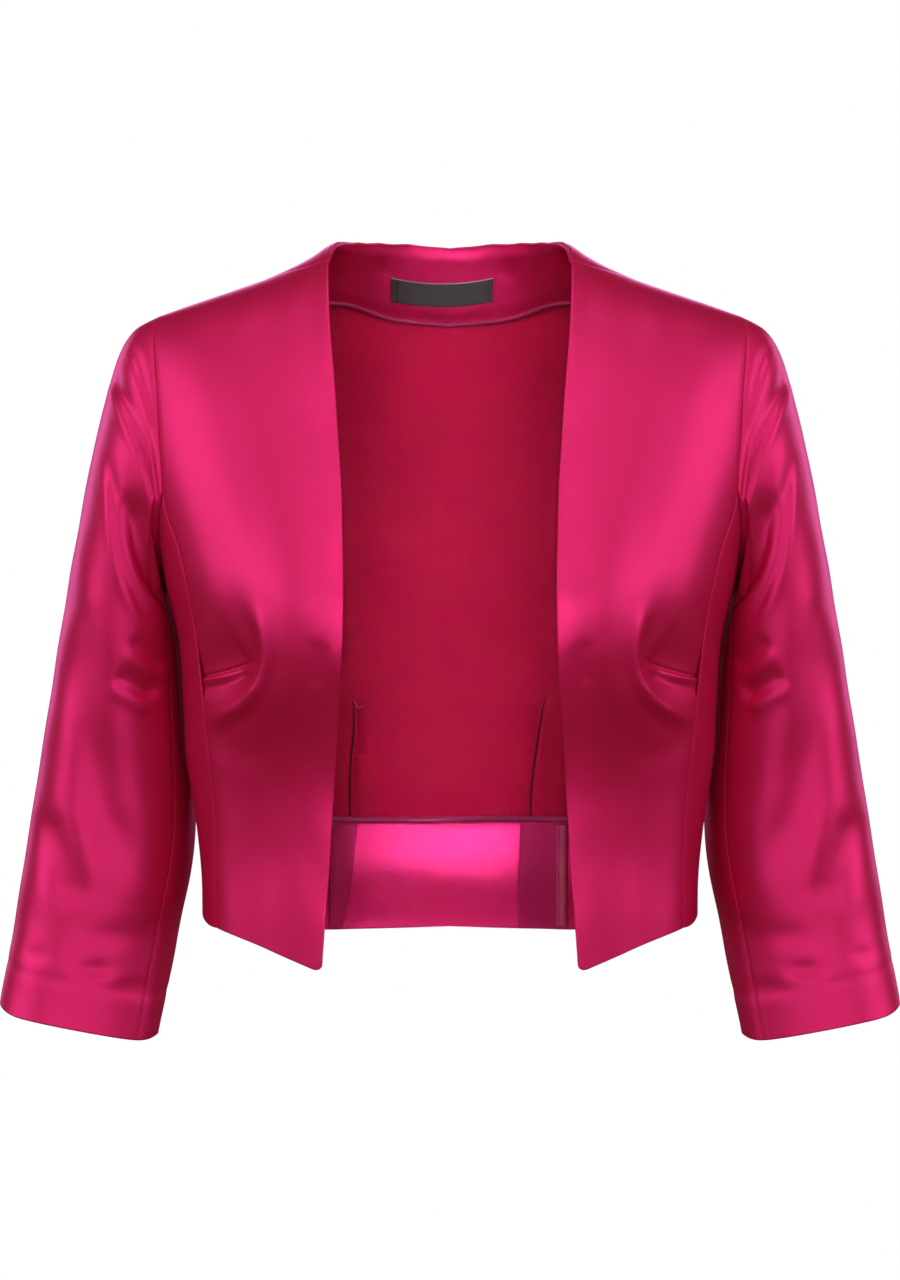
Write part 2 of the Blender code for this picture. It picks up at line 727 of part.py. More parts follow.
def main():
    for obj in list(bpy.data.objects):
        bpy.data.objects.remove(obj, do_unlink=True)
    collection = bpy.data.collections.new("bolero_jacket")
    bpy.context.scene.collection.children.link(collection)
    satin = make_material("satin", SATIN)
    lining = make_material("lining", LINING_CLOTH)
    piping = make_material("piping", PIPING_CLOTH)
    woven = make_material("label", LABEL_CLOTH)

    back = make_shell(satin, collection)
    facing_row = HEM_ROWS + WAIST_ROWS + BACK_LOWER_ARCH
    top_row = facing_row + BACK_UPPER_ARCH
    first_layer = SHELL + GAP
    second_layer = first_layer + SKIN + GAP
    make_skin("hem_facing", back, (0, HEM_ROWS), first_layer, no_extra, satin, collection)
    make_skin("back_lining", back, (HEM_ROWS, facing_row), first_layer, tuck_extra, lining, collection)
    make_skin("neck_facing", back, (facing_row, top_row), first_layer, no_extra, satin, collection)
    make_piping(
        "neck_piping", back, facing_row, NECK_PIPING_RADIUS, NECK_PIPING_RADIUS,
        second_layer, piping, collection,
    )
    make_piping(
        "hem_piping", back, HEM_ROWS, 0.0, HEM_PIPING_RADIUS,
        second_layer + TUCK_HEIGHT, piping, collection,
    )
    make_patch("label", back, LABEL, (8, 2), second_layer, SKIN, woven, collection)
    for name, box in ALLOWANCES.items():
        make_patch(name, back, box, (3, 5), second_layer, SKIN, satin, collection)


main()
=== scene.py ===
"""Cropped satin bolero jacket: cloth, folds, seams, trims, light and camera.

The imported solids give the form, and each panel here is a fine sheet on its solid's form. Sizes
are in millimetres unless they say otherwise, the front faces -Y, and "right" is +X.
"""

import math

import bpy
import numpy as np
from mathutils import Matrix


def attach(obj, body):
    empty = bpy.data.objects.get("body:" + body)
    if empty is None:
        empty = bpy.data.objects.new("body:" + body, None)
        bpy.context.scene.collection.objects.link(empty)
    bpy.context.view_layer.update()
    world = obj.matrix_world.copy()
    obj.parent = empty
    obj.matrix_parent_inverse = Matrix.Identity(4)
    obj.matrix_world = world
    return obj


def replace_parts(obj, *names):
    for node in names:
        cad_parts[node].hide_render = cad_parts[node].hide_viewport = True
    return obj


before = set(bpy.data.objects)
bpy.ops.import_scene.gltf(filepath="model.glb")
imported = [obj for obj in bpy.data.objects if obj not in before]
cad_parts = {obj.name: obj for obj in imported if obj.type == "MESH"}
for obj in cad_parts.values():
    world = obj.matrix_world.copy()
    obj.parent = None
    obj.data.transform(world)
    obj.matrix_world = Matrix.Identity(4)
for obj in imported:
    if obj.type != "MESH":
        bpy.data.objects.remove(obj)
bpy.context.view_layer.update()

MM = 0.001
# Thickness of the shell and of the layers inside it, and the gap between two layers
SHELL = 1.5
SKIN = 1.0
GAP = 0.3
SECOND_LAYER = SHELL + GAP + SKIN + GAP

# The torso: a rounded tube up to CHEST, and above it an arch over the shoulders
CHEST = -200.0
ROUND_ACROSS = 2.4
ROUND_OVER = 2.2
RIDGE_BACK = 8.0
SHOULDER_POINT = 194.7

# height, half width, front depth, back depth
TORSO = (
    (-450, 162.5, 95.5, 76.0),
    (-411, 163.0, 94.0, 73.0),
    (-388, 163.8, 93.0, 70.0),
    (-357, 166.4, 92.0, 67.0),
    (-326, 171.0, 92.5, 65.0),
    (-304, 173.9, 96.0, 66.0),
    (-274, 175.6, 103.0, 70.0),
    (-240, 177.7, 110.5, 74.0),
    (-219, 181.0, 112.0, 76.5),
    (-195, 187.0, 111.0, 79.5),
    (-172, 192.3, 108.0, 82.5),
    (-150, 197.5, 105.5, 85.0),
    (-100, 206.5, 101.0, 87.0),
    (0, 212.0, 95.0, 84.0),
    (40, 212.0, 92.0, 80.0),
)
# distance from the middle, height of the shoulder ridge
RIDGE = (
    (0, 115.0),
    (25, 104.0),
    (45, 78.0),
    (60, 53.4),
    (68, 40.5),
    (73.3, 34.2),
    (79.9, 30.6),
    (89.1, 24.1),
    (97, 19.5),
    (114.8, 10.9),
    (141.2, 1.0),
    (170.3, -8.9),
    (194.7, -17.6),
)
# distance from the middle, angle over the ridge that is 0 in front and 180 at the back
NECKLINE = (
    (0, 133.9),
    (25, 130.8),
    (45, 123.3),
    (60, 112.6),
    (68, 103.1),
    (73.3, 93.0),
    (77, 81.0),
    (80, 70.3),
)
SHOULDER_SEAM = ((80, 70.3), (98, 78.0), (118, 86.0), (155, 91.0), (194.7, 92.0))
# height, front edge, side edge of the front, side edge of the back: distances from the middle
CUT = (
    (-450, 84.6, 152.4, 128.5),
    (-436, 83.5, 152.4, 129.0),
    (-411, 81.5, 152.4, 130.0),
    (-385, 79.4, 152.4, 131.0),
    (-359, 77.5, 152.4, 133.0),
    (-328, 75.1, 154.3, 136.5),
    (-294, 72.6, 158.0, 140.0),
    (-252, 69.4, 162.5, 144.3),
    (-227, 68.2, 165.2, 148.5),
    (-207, 67.9, 168.6, 153.0),
    (-185, 68.1, 173.1, 161.0),
    (-167, 68.5, 177.6, 170.0),
    (-150, 69.0, 184.0, 179.5),
    (-137, 69.4, 186.7, 186.0),
    (-118, 70.6, 188.0, 188.0),
    (-105, 71.5, 189.0, 189.0),
    (-72, 73.8, 191.0, 191.0),
    (-39, 76.6, 193.4, 193.4),
    (-18, 78.3, 194.7, 194.7),
    (18, 80.0, 194.7, 194.7),
    (35, 80.4, 194.7, 194.7),
)
# Hem heights, and the rounded point at the foot of the front edge
FRONT_POINT = 83.5
FRONT_POINT_HEIGHT = -444.5
POINT_RADIUS = 7.0
SEAM_FOOT = 152.4
SEAM_FOOT_HEIGHT = -417.5
SIDE_FOOT_LIFT = 10.0
# distance from the middle, height
BACK_HEM = ((0, -423.0), (60, -424.5), (90, -424.5), (130, -416.5))
# distance from the middle, height of the lower edge of the neck facing
FACING_EDGE = ((0, -15.5), (40, -11.5), (80, -1.0), (120, -12.0), (160, -24.0), (194.7, -38.0))
HEM_FACING_TOP = -350.0

# The cup that the dart and the seam shape
BUST_HEIGHT = -228.0
BUST_OUT = 98.0
BUST_REACH = 16.0
BUST_WIDTH = 45.0
BUST_ABOVE = 50.0
BUST_BELOW = 38.0
# distance from the middle, height, half width, half height, how far it stands out
DART_PULLS = (
    (137, -222, 11, 18, -3.5),
    (124, -266, 15, 11, 3.0),
    (88, -243, 10, 20, -1.6),
)

# Lowest point of the armhole, and how its lower edge falls away to it
ARMHOLE_FOOT = -195.0
ARMHOLE_FOOT_AT = 2 / 3
ARMHOLE_CURVE = 1.5

# The sleeve, a row for each section: outer point x, y and z, inner point x, y and z, half depth
SLEEVE = (
    (194.7, 2, -17.6, 186.0, 15, -195.0, 44),
    (209.5, 4, -27.0, 186.5, 17, -199.0, 47),
    (219.5, 5, -44.0, 184.3, 19, -206.5, 50),
    (228.5, 6, -75.0, 181.2, 22, -217.0, 52),
    (236.5, 8, -108.0, 178.2, 24, -231.0, 53),
    (246.0, 12, -157.0, 176.2, 26, -250.0, 53),
    (257.0, 17, -217.0, 174.0, 28, -277.0, 51),
    (268.2, 22, -285.0, 170.3, 29, -320.0, 48),
    (278.4, 22, -350.0, 170.0, 27, -368.0, 44),
    (288.0, 17, -412.0, 181.3, 20, -430.0, 38),
    (293.5, 12, -445.0, 187.2, 14, -462.0, 34),
    (298.0, 7, -476.0, 193.3, 8, -496.0, 31),
)
SLEEVE_OUTER = np.array(SLEEVE)[:, :3]
SLEEVE_CAP_SECTIONS = 4.0
SLEEVE_SEAM_SECTIONS = 7.0
SLEEVE_CLEARANCE = 3.0
CLEARANCE_LENGTH = 20.0
FOLD_START = 16.0
SLEEVE_FRONT_SEAM = 140.0
SLEEVE_BACK_SEAM = 240.0
CUFF_CORNER_LIFT = 5.5
CUFF_CORNER_POWER = 10

# Rows of the panels' own measure, which runs from the hem to the shoulder
HEM_ROWS = 4
CHEST_ROW = 10
FACING_ROW = 15
BACK_TOP_ROW = 19
FRONT_TOP_ROW = 20
SEAM_TOP_ROW = 12
LOWER_ARCH_CURVE = 1.3
# Measure round the armhole: down the front, under the arm, and up the back
ARMHOLE_FRONT_ENDS = 8.0
SLEEVE_FRONT_SEAM_AT = 11.0
ARMHOLE_BACK_STARTS = 17.0
ARMHOLE_TURN = 24.0


def smooth(table, column, at):
    """A column of a table at any value of its first one, along a smooth curve."""
    key, value = np.array(table, float)[:, [0, column]].T
    slope = np.gradient(value, key)
    at = np.clip(at, key[0], key[-1])
    i = np.clip(np.searchsorted(key, at) - 1, 0, len(key) - 2)
    step = key[i + 1] - key[i]
    t = (at - key[i]) / step
    return (
        (1 + 2 * t) * (1 - t) ** 2 * value[i]
        + t * (1 - t) ** 2 * step * slope[i]
        + t**2 * (3 - 2 * t) * value[i + 1]
        + t**2 * (t - 1) * step * slope[i + 1]
    )


def unit(vectors):
    return vectors / np.maximum(np.linalg.norm(vectors, axis=-1, keepdims=True), 1e-9)


def fade(t):
    """From 0 to 1 with level ends."""
    t = np.clip(t, 0, 1)
    return t * t * (3 - 2 * t)


def run_along(path):
    """How far along a path each of its points lies."""
    return np.concatenate([[0], np.cumsum(np.linalg.norm(np.diff(path, axis=0), axis=1))])


def rest(share, power):
    """What is left of one axis of a superellipse at a share of the other."""
    return (1 - np.clip(np.abs(share), 0, 1) ** power) ** (1 / power)


def bell(offset, width):
    return np.exp(-((offset / width) ** 2) / 2)


def cup(x, z):
    x = np.abs(x)
    width = np.where(z > BUST_HEIGHT, BUST_ABOVE, BUST_BELOW)
    out = BUST_REACH * bell(x - BUST_OUT, BUST_WIDTH) * bell(z - BUST_HEIGHT, width)
    for pull_x, pull_z, half_width, half_height, height in DART_PULLS:
        out = out + height * bell(x - pull_x, half_width) * bell(z - pull_z, half_height)
    return out


def torso(x, z, across, over, side):
    """A point of the torso: side is -1 in front and 1 at the back."""
    lift = np.clip((z - CHEST) / (smooth(RIDGE, 1, np.abs(x)) - CHEST), 0, 1)
    middle = RIDGE_BACK * lift * (1 - np.abs(x) / SHOULDER_POINT)
    depth = np.where(side < 0, smooth(TORSO, 2, z), smooth(TORSO, 3, z))
    y = middle + side * depth * across * over - np.where(side < 0, cup(x, z) * across * over, 0)
    return np.stack(np.broadcast_arrays(x, y, z), axis=-1)


def torso_at(x, z, side):
    lift = np.clip((z - CHEST) / (smooth(RIDGE, 1, np.abs(x)) - CHEST), 0, 1)
    across = rest(x / smooth(TORSO, 1, z), ROUND_ACROSS)
    return torso(x, z, across, rest(lift, ROUND_OVER), side)


def torso_side(points):
    """How far out the torso reaches at each point's height and depth."""
    y, z = points[..., 1], points[..., 2]
    depth = np.where(y < 0, smooth(TORSO, 2, z), smooth(TORSO, 3, z))
    return smooth(TORSO, 1, z) * rest(y / depth, ROUND_ACROSS)


def arch_height(x, angle):
    lift = np.sin(np.radians(angle)) ** (2 / ROUND_OVER)
    return CHEST + (smooth(RIDGE, 1, x) - CHEST) * lift


def arch_at(x, angle):
    z = arch_height(x, angle)
    across = rest(x / smooth(TORSO, 1, z), ROUND_ACROSS)
    over = np.abs(np.cos(np.radians(angle))) ** (2 / ROUND_OVER)
    return torso(x, z, across, over, np.where(angle < 90, -1, 1))


def settle(place_at, height_at, start):
    """The place and height that agree with each other, where each depends on the other."""
    z = start
    for _ in range(40):
        x = place_at(z)
        z = height_at(x)
    return x, z


def on_arch(place_at, angle_at, start):
    """Points over the shoulder whose place and angle over the ridge agree with each other."""
    x, _ = settle(place_at, lambda x: arch_height(x, angle_at(x)), start)
    return arch_at(x, angle_at(x))


def front_hem(x):
    slope = (SEAM_FOOT_HEIGHT - FRONT_POINT_HEIGHT) / (SEAM_FOOT - FRONT_POINT)
    near = np.clip(1 - (x - FRONT_POINT) / POINT_RADIUS, 0, 1)
    corner = POINT_RADIUS * (1 - np.sqrt(1 - near**2))
    return FRONT_POINT_HEIGHT + slope * (x - FRONT_POINT) + corner


def front_grid(rows, shares):
    """Points of the front: rows from 0 at the hem to FRONT_TOP_ROW, shares of the way outwards."""
    shares = np.broadcast_to(shares, (1, len(shares)))

    def place(z):
        edge = smooth(CUT, 1, z)
        return edge + (smooth(CUT, 2, z) - edge) * shares

    t = rows[rows <= CHEST_ROW][:, None] / CHEST_ROW
    x, z = settle(place, lambda x: front_hem(x) * (1 - t) + CHEST * t, CHEST * t + shares * 0)
    low = torso_at(x, z, -1)
    t = (rows[rows > CHEST_ROW][:, None] - CHEST_ROW) / (FRONT_TOP_ROW - CHEST_ROW)
    high = on_arch(place, lambda x: smooth(SHOULDER_SEAM, 1, x) * t, CHEST * (1 - t) + shares * 0)
    return np.concatenate([low, high])


def back_grid(rows, shares):
    """Points of the right half of the back: rows up to BACK_TOP_ROW, shares of the way outwards."""
    shares = np.broadcast_to(shares, (1, len(shares)))
    neck_share = NECKLINE[-1][0] / SHOULDER_POINT

    def place(z):
        return smooth(CUT, 3, z) * shares

    def facing_angle(x):
        lift = (smooth(FACING_EDGE, 1, x) - CHEST) / (smooth(RIDGE, 1, x) - CHEST)
        return 180 - np.degrees(np.arcsin(lift ** (ROUND_OVER / 2)))

    def top_angle(x):
        return np.where(shares < neck_share, smooth(NECKLINE, 1, x), smooth(SHOULDER_SEAM, 1, x))

    def arch(t, first_angle, last_angle):
        start = t * 0 + shares * 0
        return on_arch(place, lambda x: first_angle(x) * (1 - t) + last_angle(x) * t, start)

    parts = []
    t = rows[rows <= HEM_ROWS][:, None] / HEM_ROWS
    start = CHEST + t * 0 + shares * 0
    x, z = settle(place, lambda x: smooth(BACK_HEM, 1, x) * (1 - t) + HEM_FACING_TOP * t, start)
    parts.append(torso_at(x, z, 1))
    middle = rows[(rows > HEM_ROWS) & (rows <= CHEST_ROW)][:, None]
    t = (middle - HEM_ROWS) / (CHEST_ROW - HEM_ROWS)
    z = HEM_FACING_TOP * (1 - t) + CHEST * t + shares * 0
    parts.append(torso_at(place(z), z, 1))
    lower = rows[(rows > CHEST_ROW) & (rows <= FACING_ROW)][:, None]
    t = ((lower - CHEST_ROW) / (FACING_ROW - CHEST_ROW)) ** LOWER_ARCH_CURVE
    parts.append(arch(t, lambda x: 180.0, facing_angle))
    t = (rows[rows > FACING_ROW][:, None] - FACING_ROW) / (BACK_TOP_ROW - FACING_ROW)
    parts.append(arch(t, facing_angle, top_angle))
    return np.concatenate(parts)


def side_grid(rows, shares):
    """Points of the side panel: rows from the hem to SEAM_TOP_ROW, shares from front to back."""
    before = front_grid(rows, np.array([1.0]))[:, 0]
    behind = back_grid(rows, np.array([1.0]))[:, 0]

    def seam_angle(edge):
        share = edge[:, 0] / smooth(TORSO, 1, edge[:, 2])
        return np.arccos(np.clip(share, 0, 1) ** (ROUND_ACROSS / 2))

    columns = []
    for t in shares:
        if t < ARMHOLE_FOOT_AT:
            rise, edge = 1 - t / ARMHOLE_FOOT_AT, before
        else:
            rise, edge = (t - ARMHOLE_FOOT_AT) / (1 - ARMHOLE_FOOT_AT), behind
        top = ARMHOLE_FOOT + (edge[-1, 2] - ARMHOLE_FOOT) * rise**ARMHOLE_CURVE
        foot = before[0, 2] * (1 - t) + behind[0, 2] * t + SIDE_FOOT_LIFT * np.sin(np.pi * t) ** 2
        share = [(edge[:, 2] - edge[0, 2]) / (edge[-1, 2] - edge[0, 2]) for edge in (before, behind)]
        z = foot + (top - foot) * (share[0] * (1 - t) + share[1] * t)
        angle = seam_angle(before) * (1 - t) - seam_angle(behind) * t
        x = smooth(TORSO, 1, z) * np.cos(angle) ** (2 / ROUND_ACROSS)
        across = np.abs(np.sin(angle)) ** (2 / ROUND_ACROSS)
        lift = np.clip((z - CHEST) / (smooth(RIDGE, 1, x) - CHEST), 0, 1)
        columns.append(torso(x, z, across, rest(lift, ROUND_OVER), np.where(angle > 0, -1, 1)))
    columns = np.stack(columns, axis=1)
    columns[:, shares == 0] = before[:, None]
    columns[:, shares == 1] = behind[:, None]
    return columns


def armhole(at):
    """Points of the armhole by its own measure, 0 and ARMHOLE_TURN at the shoulder."""
    at = np.mod(at, ARMHOLE_TURN)
    order = np.argsort(at)
    keys = at[order]
    front = keys[keys < ARMHOLE_FRONT_ENDS]
    under = keys[(keys >= ARMHOLE_FRONT_ENDS) & (keys <= ARMHOLE_BACK_STARTS)]
    behind = keys[keys > ARMHOLE_BACK_STARTS]
    parts = []
    if len(front):
        parts.append(front_grid(FRONT_TOP_ROW - front[::-1], np.array([1.0]))[::-1, 0])
    if len(under):
        shares = (under - ARMHOLE_FRONT_ENDS) / (ARMHOLE_BACK_STARTS - ARMHOLE_FRONT_ENDS)
        parts.append(side_grid(np.array([0.0, SEAM_TOP_ROW]), shares)[-1])
    if len(behind):
        parts.append(back_grid(SEAM_TOP_ROW + behind - ARMHOLE_BACK_STARTS, np.array([1.0]))[:, 0])
    points = np.empty((len(at), 3))
    points[order] = np.concatenate(parts)
    return points


def sleeve_section(at, angles):
    """The sleeve's own shape at a section number, before the armhole's shape is added."""
    table = [(number, *row) for number, row in enumerate(SLEEVE)]
    columns = np.array([smooth(table, column, at) for column in range(1, 8)])
    outer, inner, half_depth = columns[:3], columns[3:6], columns[6]
    cosine = np.cos(np.radians(angles))[:, None]
    sine = np.sin(np.radians(angles))
    points = (outer + inner) / 2 + (outer - inner) / 2 * cosine
    points[:, 1] -= half_depth * sine
    corner = fade(at - (len(SLEEVE) - 2)) * CUFF_CORNER_LIFT
    points[:, 2] += corner * np.abs(cosine[:, 0]) ** CUFF_CORNER_POWER
    return points


def sleeve_grid(lengths, at):
    """Points of the sleeve: shares of its length from armhole to cuff, and its measure round."""
    dense = np.linspace(0, ARMHOLE_TURN, 400, endpoint=False)
    whole = armhole(dense)
    lowest, foot, top = dense[whole[:, 2].argmin()], whole[:, 2].min(), whole[0, 2]
    edge = armhole(at)
    turn = np.mod(at, ARMHOLE_TURN)
    natural = np.degrees(np.arccos(np.clip(2 * (edge[:, 2] - foot) / (top - foot) - 1, -1, 1)))
    natural = np.where(turn > lowest, 360 - natural, natural)
    even = np.interp(
        turn,
        (0, SLEEVE_FRONT_SEAM_AT, ARMHOLE_BACK_STARTS, ARMHOLE_TURN),
        (0, SLEEVE_FRONT_SEAM, SLEEVE_BACK_SEAM, 360),
    )
    run = run_along(SLEEVE_OUTER)
    correction = edge - sleeve_section(0.0, natural)
    rows = []
    for section in np.interp(lengths * run[-1], run, np.arange(len(run))):
        turned = fade(section / SLEEVE_SEAM_SECTIONS)
        shape = sleeve_section(section, natural * (1 - turned) + even * turned)
        rows.append(shape + (1 - fade(section / SLEEVE_CAP_SECTIONS)) * correction)
    return np.array(rows)


def keep_clear(tube, lengths, depth_of_folds):
    """The sleeve with its folds, just clear of the torso's side below the armhole."""
    away = lengths[:, None] * run_along(SLEEVE_OUTER)[-1]
    tube = tube - (depth_of_folds * fade(away / FOLD_START))[..., None] * grid_normals(tube, 1)
    foot = armhole(np.linspace(ARMHOLE_FRONT_ENDS, ARMHOLE_BACK_STARTS, 40))
    clear = torso_side(tube) + SLEEVE_CLEARANCE * fade(away / CLEARANCE_LENGTH)
    below = np.interp(tube[..., 1], foot[:, 1], foot[:, 2]) - tube[..., 2]
    push = np.maximum(clear - tube[..., 0], 0) * fade(below / CLEARANCE_LENGTH + 0.5)
    tube[1:, :, 0] += push[1:]
    return tube


def grid_normals(points, sign):
    """One normal for each point of a grid, from the faces round it."""
    faces = sign * np.cross(points[1:, 1:] - points[:-1, :-1], points[1:, :-1] - points[:-1, 1:])
    total = np.zeros(points.shape)
    total[:-1, :-1] += faces
    total[1:, :-1] += faces
    total[:-1, 1:] += faces
    total[1:, 1:] += faces
    return unit(total)


def edge_distances(points):
    """For each point of a grid, how far the foot, the top, the first and last column are."""
    down = np.linalg.norm(np.diff(points, axis=0), axis=-1)
    across = np.linalg.norm(np.diff(points, axis=1), axis=-1)
    up = np.concatenate([np.zeros((1, points.shape[1])), np.cumsum(down, axis=0)])
    along = np.concatenate([np.zeros((points.shape[0], 1)), np.cumsum(across, axis=1)], axis=1)
    return {"foot": up, "top": up[-1:] - up, "first": along, "last": along[:, -1:] - along}


def off_edges(distance, **reaches):
    """1 on the cloth and 0 at the edges named, with how far from each the change reaches."""
    share = 1.0
    for edge, reach in reaches.items():
        share = share * fade(distance[edge] / reach)
    return share


# Lines close to each edge, for its roll, and the roll's radius at a free edge and at a seam
ROLL_STEPS = (0.12, 0.35, 0.7, 1.3, 2.4)
CLEAR_OF_ROLL = 1.3 * ROLL_STEPS[-1]
ROLL = 0.66
SEAM_ROLL = 0.2
# Groove along a seam: half width, depth, and how far each edge draws back
SEAM_WIDTH = 1.4
SEAM_DEPTH = 0.3
SEAM_PART = 0.05


def lines(count, length, end=1.0):
    """Even lines over a length, with more close to both ends."""
    steps = np.array(ROLL_STEPS) / length
    inner = np.linspace(0, 1, count + 1)[1:-1]
    clear = CLEAR_OF_ROLL / length
    inner = inner[(inner > clear) & (inner < 1 - clear)]
    return end * np.concatenate([[0], steps, inner, 1 - steps[::-1], [1]])


def rolled(distance, radius):
    """How far a cloth's face turns in close to its edge."""
    near = np.clip(1 - distance / radius, 0, 1)
    return radius * (1 - np.sqrt(1 - near**2))


# Creases of the sleeve: 1 for its front and -1 for its back, half width at the start and the end,
# depth at the start and the end (below 0 it is a ridge), share of that by which the cloth rises on
# the left and the right of the way, how many times wider the right side is, path as x and z
SLEEVE_CREASES = (
    (1, 1.6, 2.2, 1.8, 2.4, 0.2, 0.1, 2.4, ((210, -34), (200, -62), (194.5, -78), (189, -102))),
    (1, 1.8, 4, 2, 6, 0.3, 0, 2.4,
     ((246, -24), (216, -70), (205, -91), (196.5, -108), (190.5, -131), (186, -160), (184, -190))),
    (1, 2, 3.2, 1.5, 2.2, 0.4, 0.1, 1.8,
     ((224.5, -104), (220, -135), (217, -158), (212, -182), (203, -203), (192, -226))),
    (1, 3.2, 4.5, 3.4, 7.5, 0.15, 0, 2.4,
     ((212, -128), (208, -152), (202.5, -174), (194, -191), (184, -202), (166, -213))),
    (1, 11, 9, 2, 4, 0.3, 0.3, 1,
     ((242, -196), (241, -240), (238.8, -273), (234, -300), (227, -341), (220, -359), (206, -398))),
    (1, 3.5, 4.5, 1.4, 2.4, 0.6, 0.2, 1.6, ((222, -253), (208.6, -258.5), (190, -268))),
    (1, 3.5, 4.5, 1, 1.8, 0.5, 0.2, 1.6, ((210, -228), (200, -238), (186, -250))),
    (1, 8, 9, 1.6, 2.4, 0.2, 0.2, 1, ((268, -338), (259, -368), (244, -408))),
    (1, 5, 6, 0.8, 1.2, 0.3, 0.3, 1, ((262, -150), (256, -190), (247, -222))),
    (-1, 5, 7, 2, 4.5, 0.2, 0.2, 1.8, ((232, -100), (214, -150), (190, -205))),
    (-1, 6, 7, 2, 5, 0.2, 0.2, 1.8, ((248, -190), (224, -232), (190, -268))),
    (-1, 6, 6, 1.5, 4, 0.2, 0.2, 1.8, ((252, -255), (228, -290), (196, -324))),
    (-1, 4, 5, 1.2, 2.4, 0.3, 0.2, 1.6, ((256, -300), (232, -330), (200, -349))),
    (-1, 10, 8, 1, 2.2, 0.2, 0.2, 1, ((230, -330), (222, -380), (214, -420))),
)
# Dimples of the blind-stitched cuff hem: place across, height, half width, half height, depth
CUFF_DIMPLES = (
    (272, -437, 6, 4, 0.9),
    (233, -446, 8, 4, 1.4),
    (219, -424, 12, 6, 1.0),
    (209, -458, 9, 4, 0.9),
)
# The cuff hem's stitching: distance from the edge, half width and depth
CUFF_HEM = 30.0
CUFF_HEM_WIDTH = 2.5
CUFF_HEM_DEPTH = 0.35

# The dart of the front: its seam as place across and height, over what distance the cloth falls in
# above it and below it, and how deep, each at the side seam and at the tip
DART_SEAM = ((165, -254.5), (147, -250.5), (136, -246.5), (127, -241.5))
DART_ABOVE = (8.0, 15.0)
DART_BELOW = (1.0, 1.9)
DART_DEPTH = (1.4, 3.2)
# Creases of the front, in the same columns: the line of the dart's seam, the ridge under it and the
# smaller pulls
FRONT_CREASES = (
    (1, 0.7, 0.7, 0.9, 0.9, 0, 0, 1,
     ((180, -258), (165, -254.5), (147, -250.5), (136, -246.5), (120, -238))),
    (1, 4, 3.8, -1.4, -4.8, 0, 0.1, 1,
     ((131, -199), (121.5, -220), (119, -239), (122.5, -255), (131, -268), (144, -277), (162, -286))),
    (1, 3.2, 3.8, 1.8, 3, 0.1, 0, 1, ((168, -263), (147, -259.5), (128, -249))),
    (1, 5, 5, 0.7, 0.9, 0.3, 0.3, 1, ((84.5, -228), (85, -244), (86, -262))),
    (1, 7, 7, 0.5, 0.7, 0.3, 0.2, 1, ((154, -290), (141, -300), (118, -309))),
)
# Hollows of the front: place across, height, half width, half height, depth
FRONT_HOLLOWS = ((139, -246, 15, 16, 5.0),)
# How far the front falls in below the bust, from this height and over this length
FRONT_FALL = 5.0
FRONT_FALL_TOP = -262.0
FRONT_FALL_LENGTH = 120.0
# Creases of the back, from both armholes and above the hem
BACK_CREASES = (
    (-1, 10, 7, 1, 2.6, 0.2, 0.2, 1.7, ((110, -90), (150, -120), (190, -155))),
    (-1, 9, 7, 0.8, 2, 0.2, 0.2, 1.7, ((90, -150), (130, -170), (180, -180))),
    (-1, 10, 14, 0.6, 1.4, 0.2, 0.2, 1, ((66, -425), (64, -370), (60, -290))),
    (-1, 16, 16, 0.8, 0.8, 0.2, 0.2, 1, ((-50, -310), (10, -318), (70, -306))),
    (-1, 10, 7, 1, 2.4, 0.2, 0.2, 1.7, ((-105, -95), (-148, -116), (-190, -150))),
    (-1, 9, 7, 0.8, 2.2, 0.2, 0.2, 1.7, ((-96, -158), (-134, -180), (-176, -189))),
    (-1, 10, 14, 0.6, 1.4, 0.2, 0.2, 1, ((-64, -425), (-66, -365), (-58, -280))),
)


# Where a crease's lip is highest, in widths from its middle
LIP_AT = 2.2


def curve_through(path, count=60):
    """Points along a smooth curve through a path, with the curve's direction at each."""
    path = np.array(path, float)
    run = run_along(path)
    at = np.linspace(0, run[-1], count)
    table = np.column_stack([run, path])
    points = np.stack([smooth(table, 1 + i, at) for i in range(path.shape[1])], axis=-1)
    return points, unit(np.gradient(points, axis=0)), at / run[-1]


def nearest_on(points, path):
    """How far a path is from each point, above 0 on the left of its way, and the share of it there."""
    line, direction, share = curve_through(path)
    offset = points[..., None, [0, 2]] - line
    nearest = (offset**2).sum(axis=-1).argmin(axis=-1)
    offset = np.take_along_axis(offset, nearest[..., None, None], axis=-2)[..., 0, :]
    direction = direction[nearest]
    left = direction[..., 0] * offset[..., 1] - direction[..., 1] * offset[..., 0]
    return np.sign(left) * np.linalg.norm(offset, axis=-1), share[nearest]


def crease_depth(points, normals, creases):
    """How far each point sinks into the creases, less where it rises on their lips."""
    depth = np.zeros(points.shape[:-1])
    for side, width_a, width_b, deep_a, deep_b, lip_left, lip_right, lean, path in creases:
        signed, share = nearest_on(points, path)
        width = (width_a + (width_b - width_a) * share) * np.where(signed < 0, lean, 1.0)
        deep = (deep_a + (deep_b - deep_a) * share) * fade(share * 4) * fade((1 - share) * 4)
        shape = bell(signed, width)
        shape = shape - lip_left * bell(signed - LIP_AT * width, width)
        shape = shape - lip_right * bell(signed + LIP_AT * width, width)
        facing = fade(-side * normals[..., 1] * 2)
        depth = depth + deep * shape * facing
    return depth


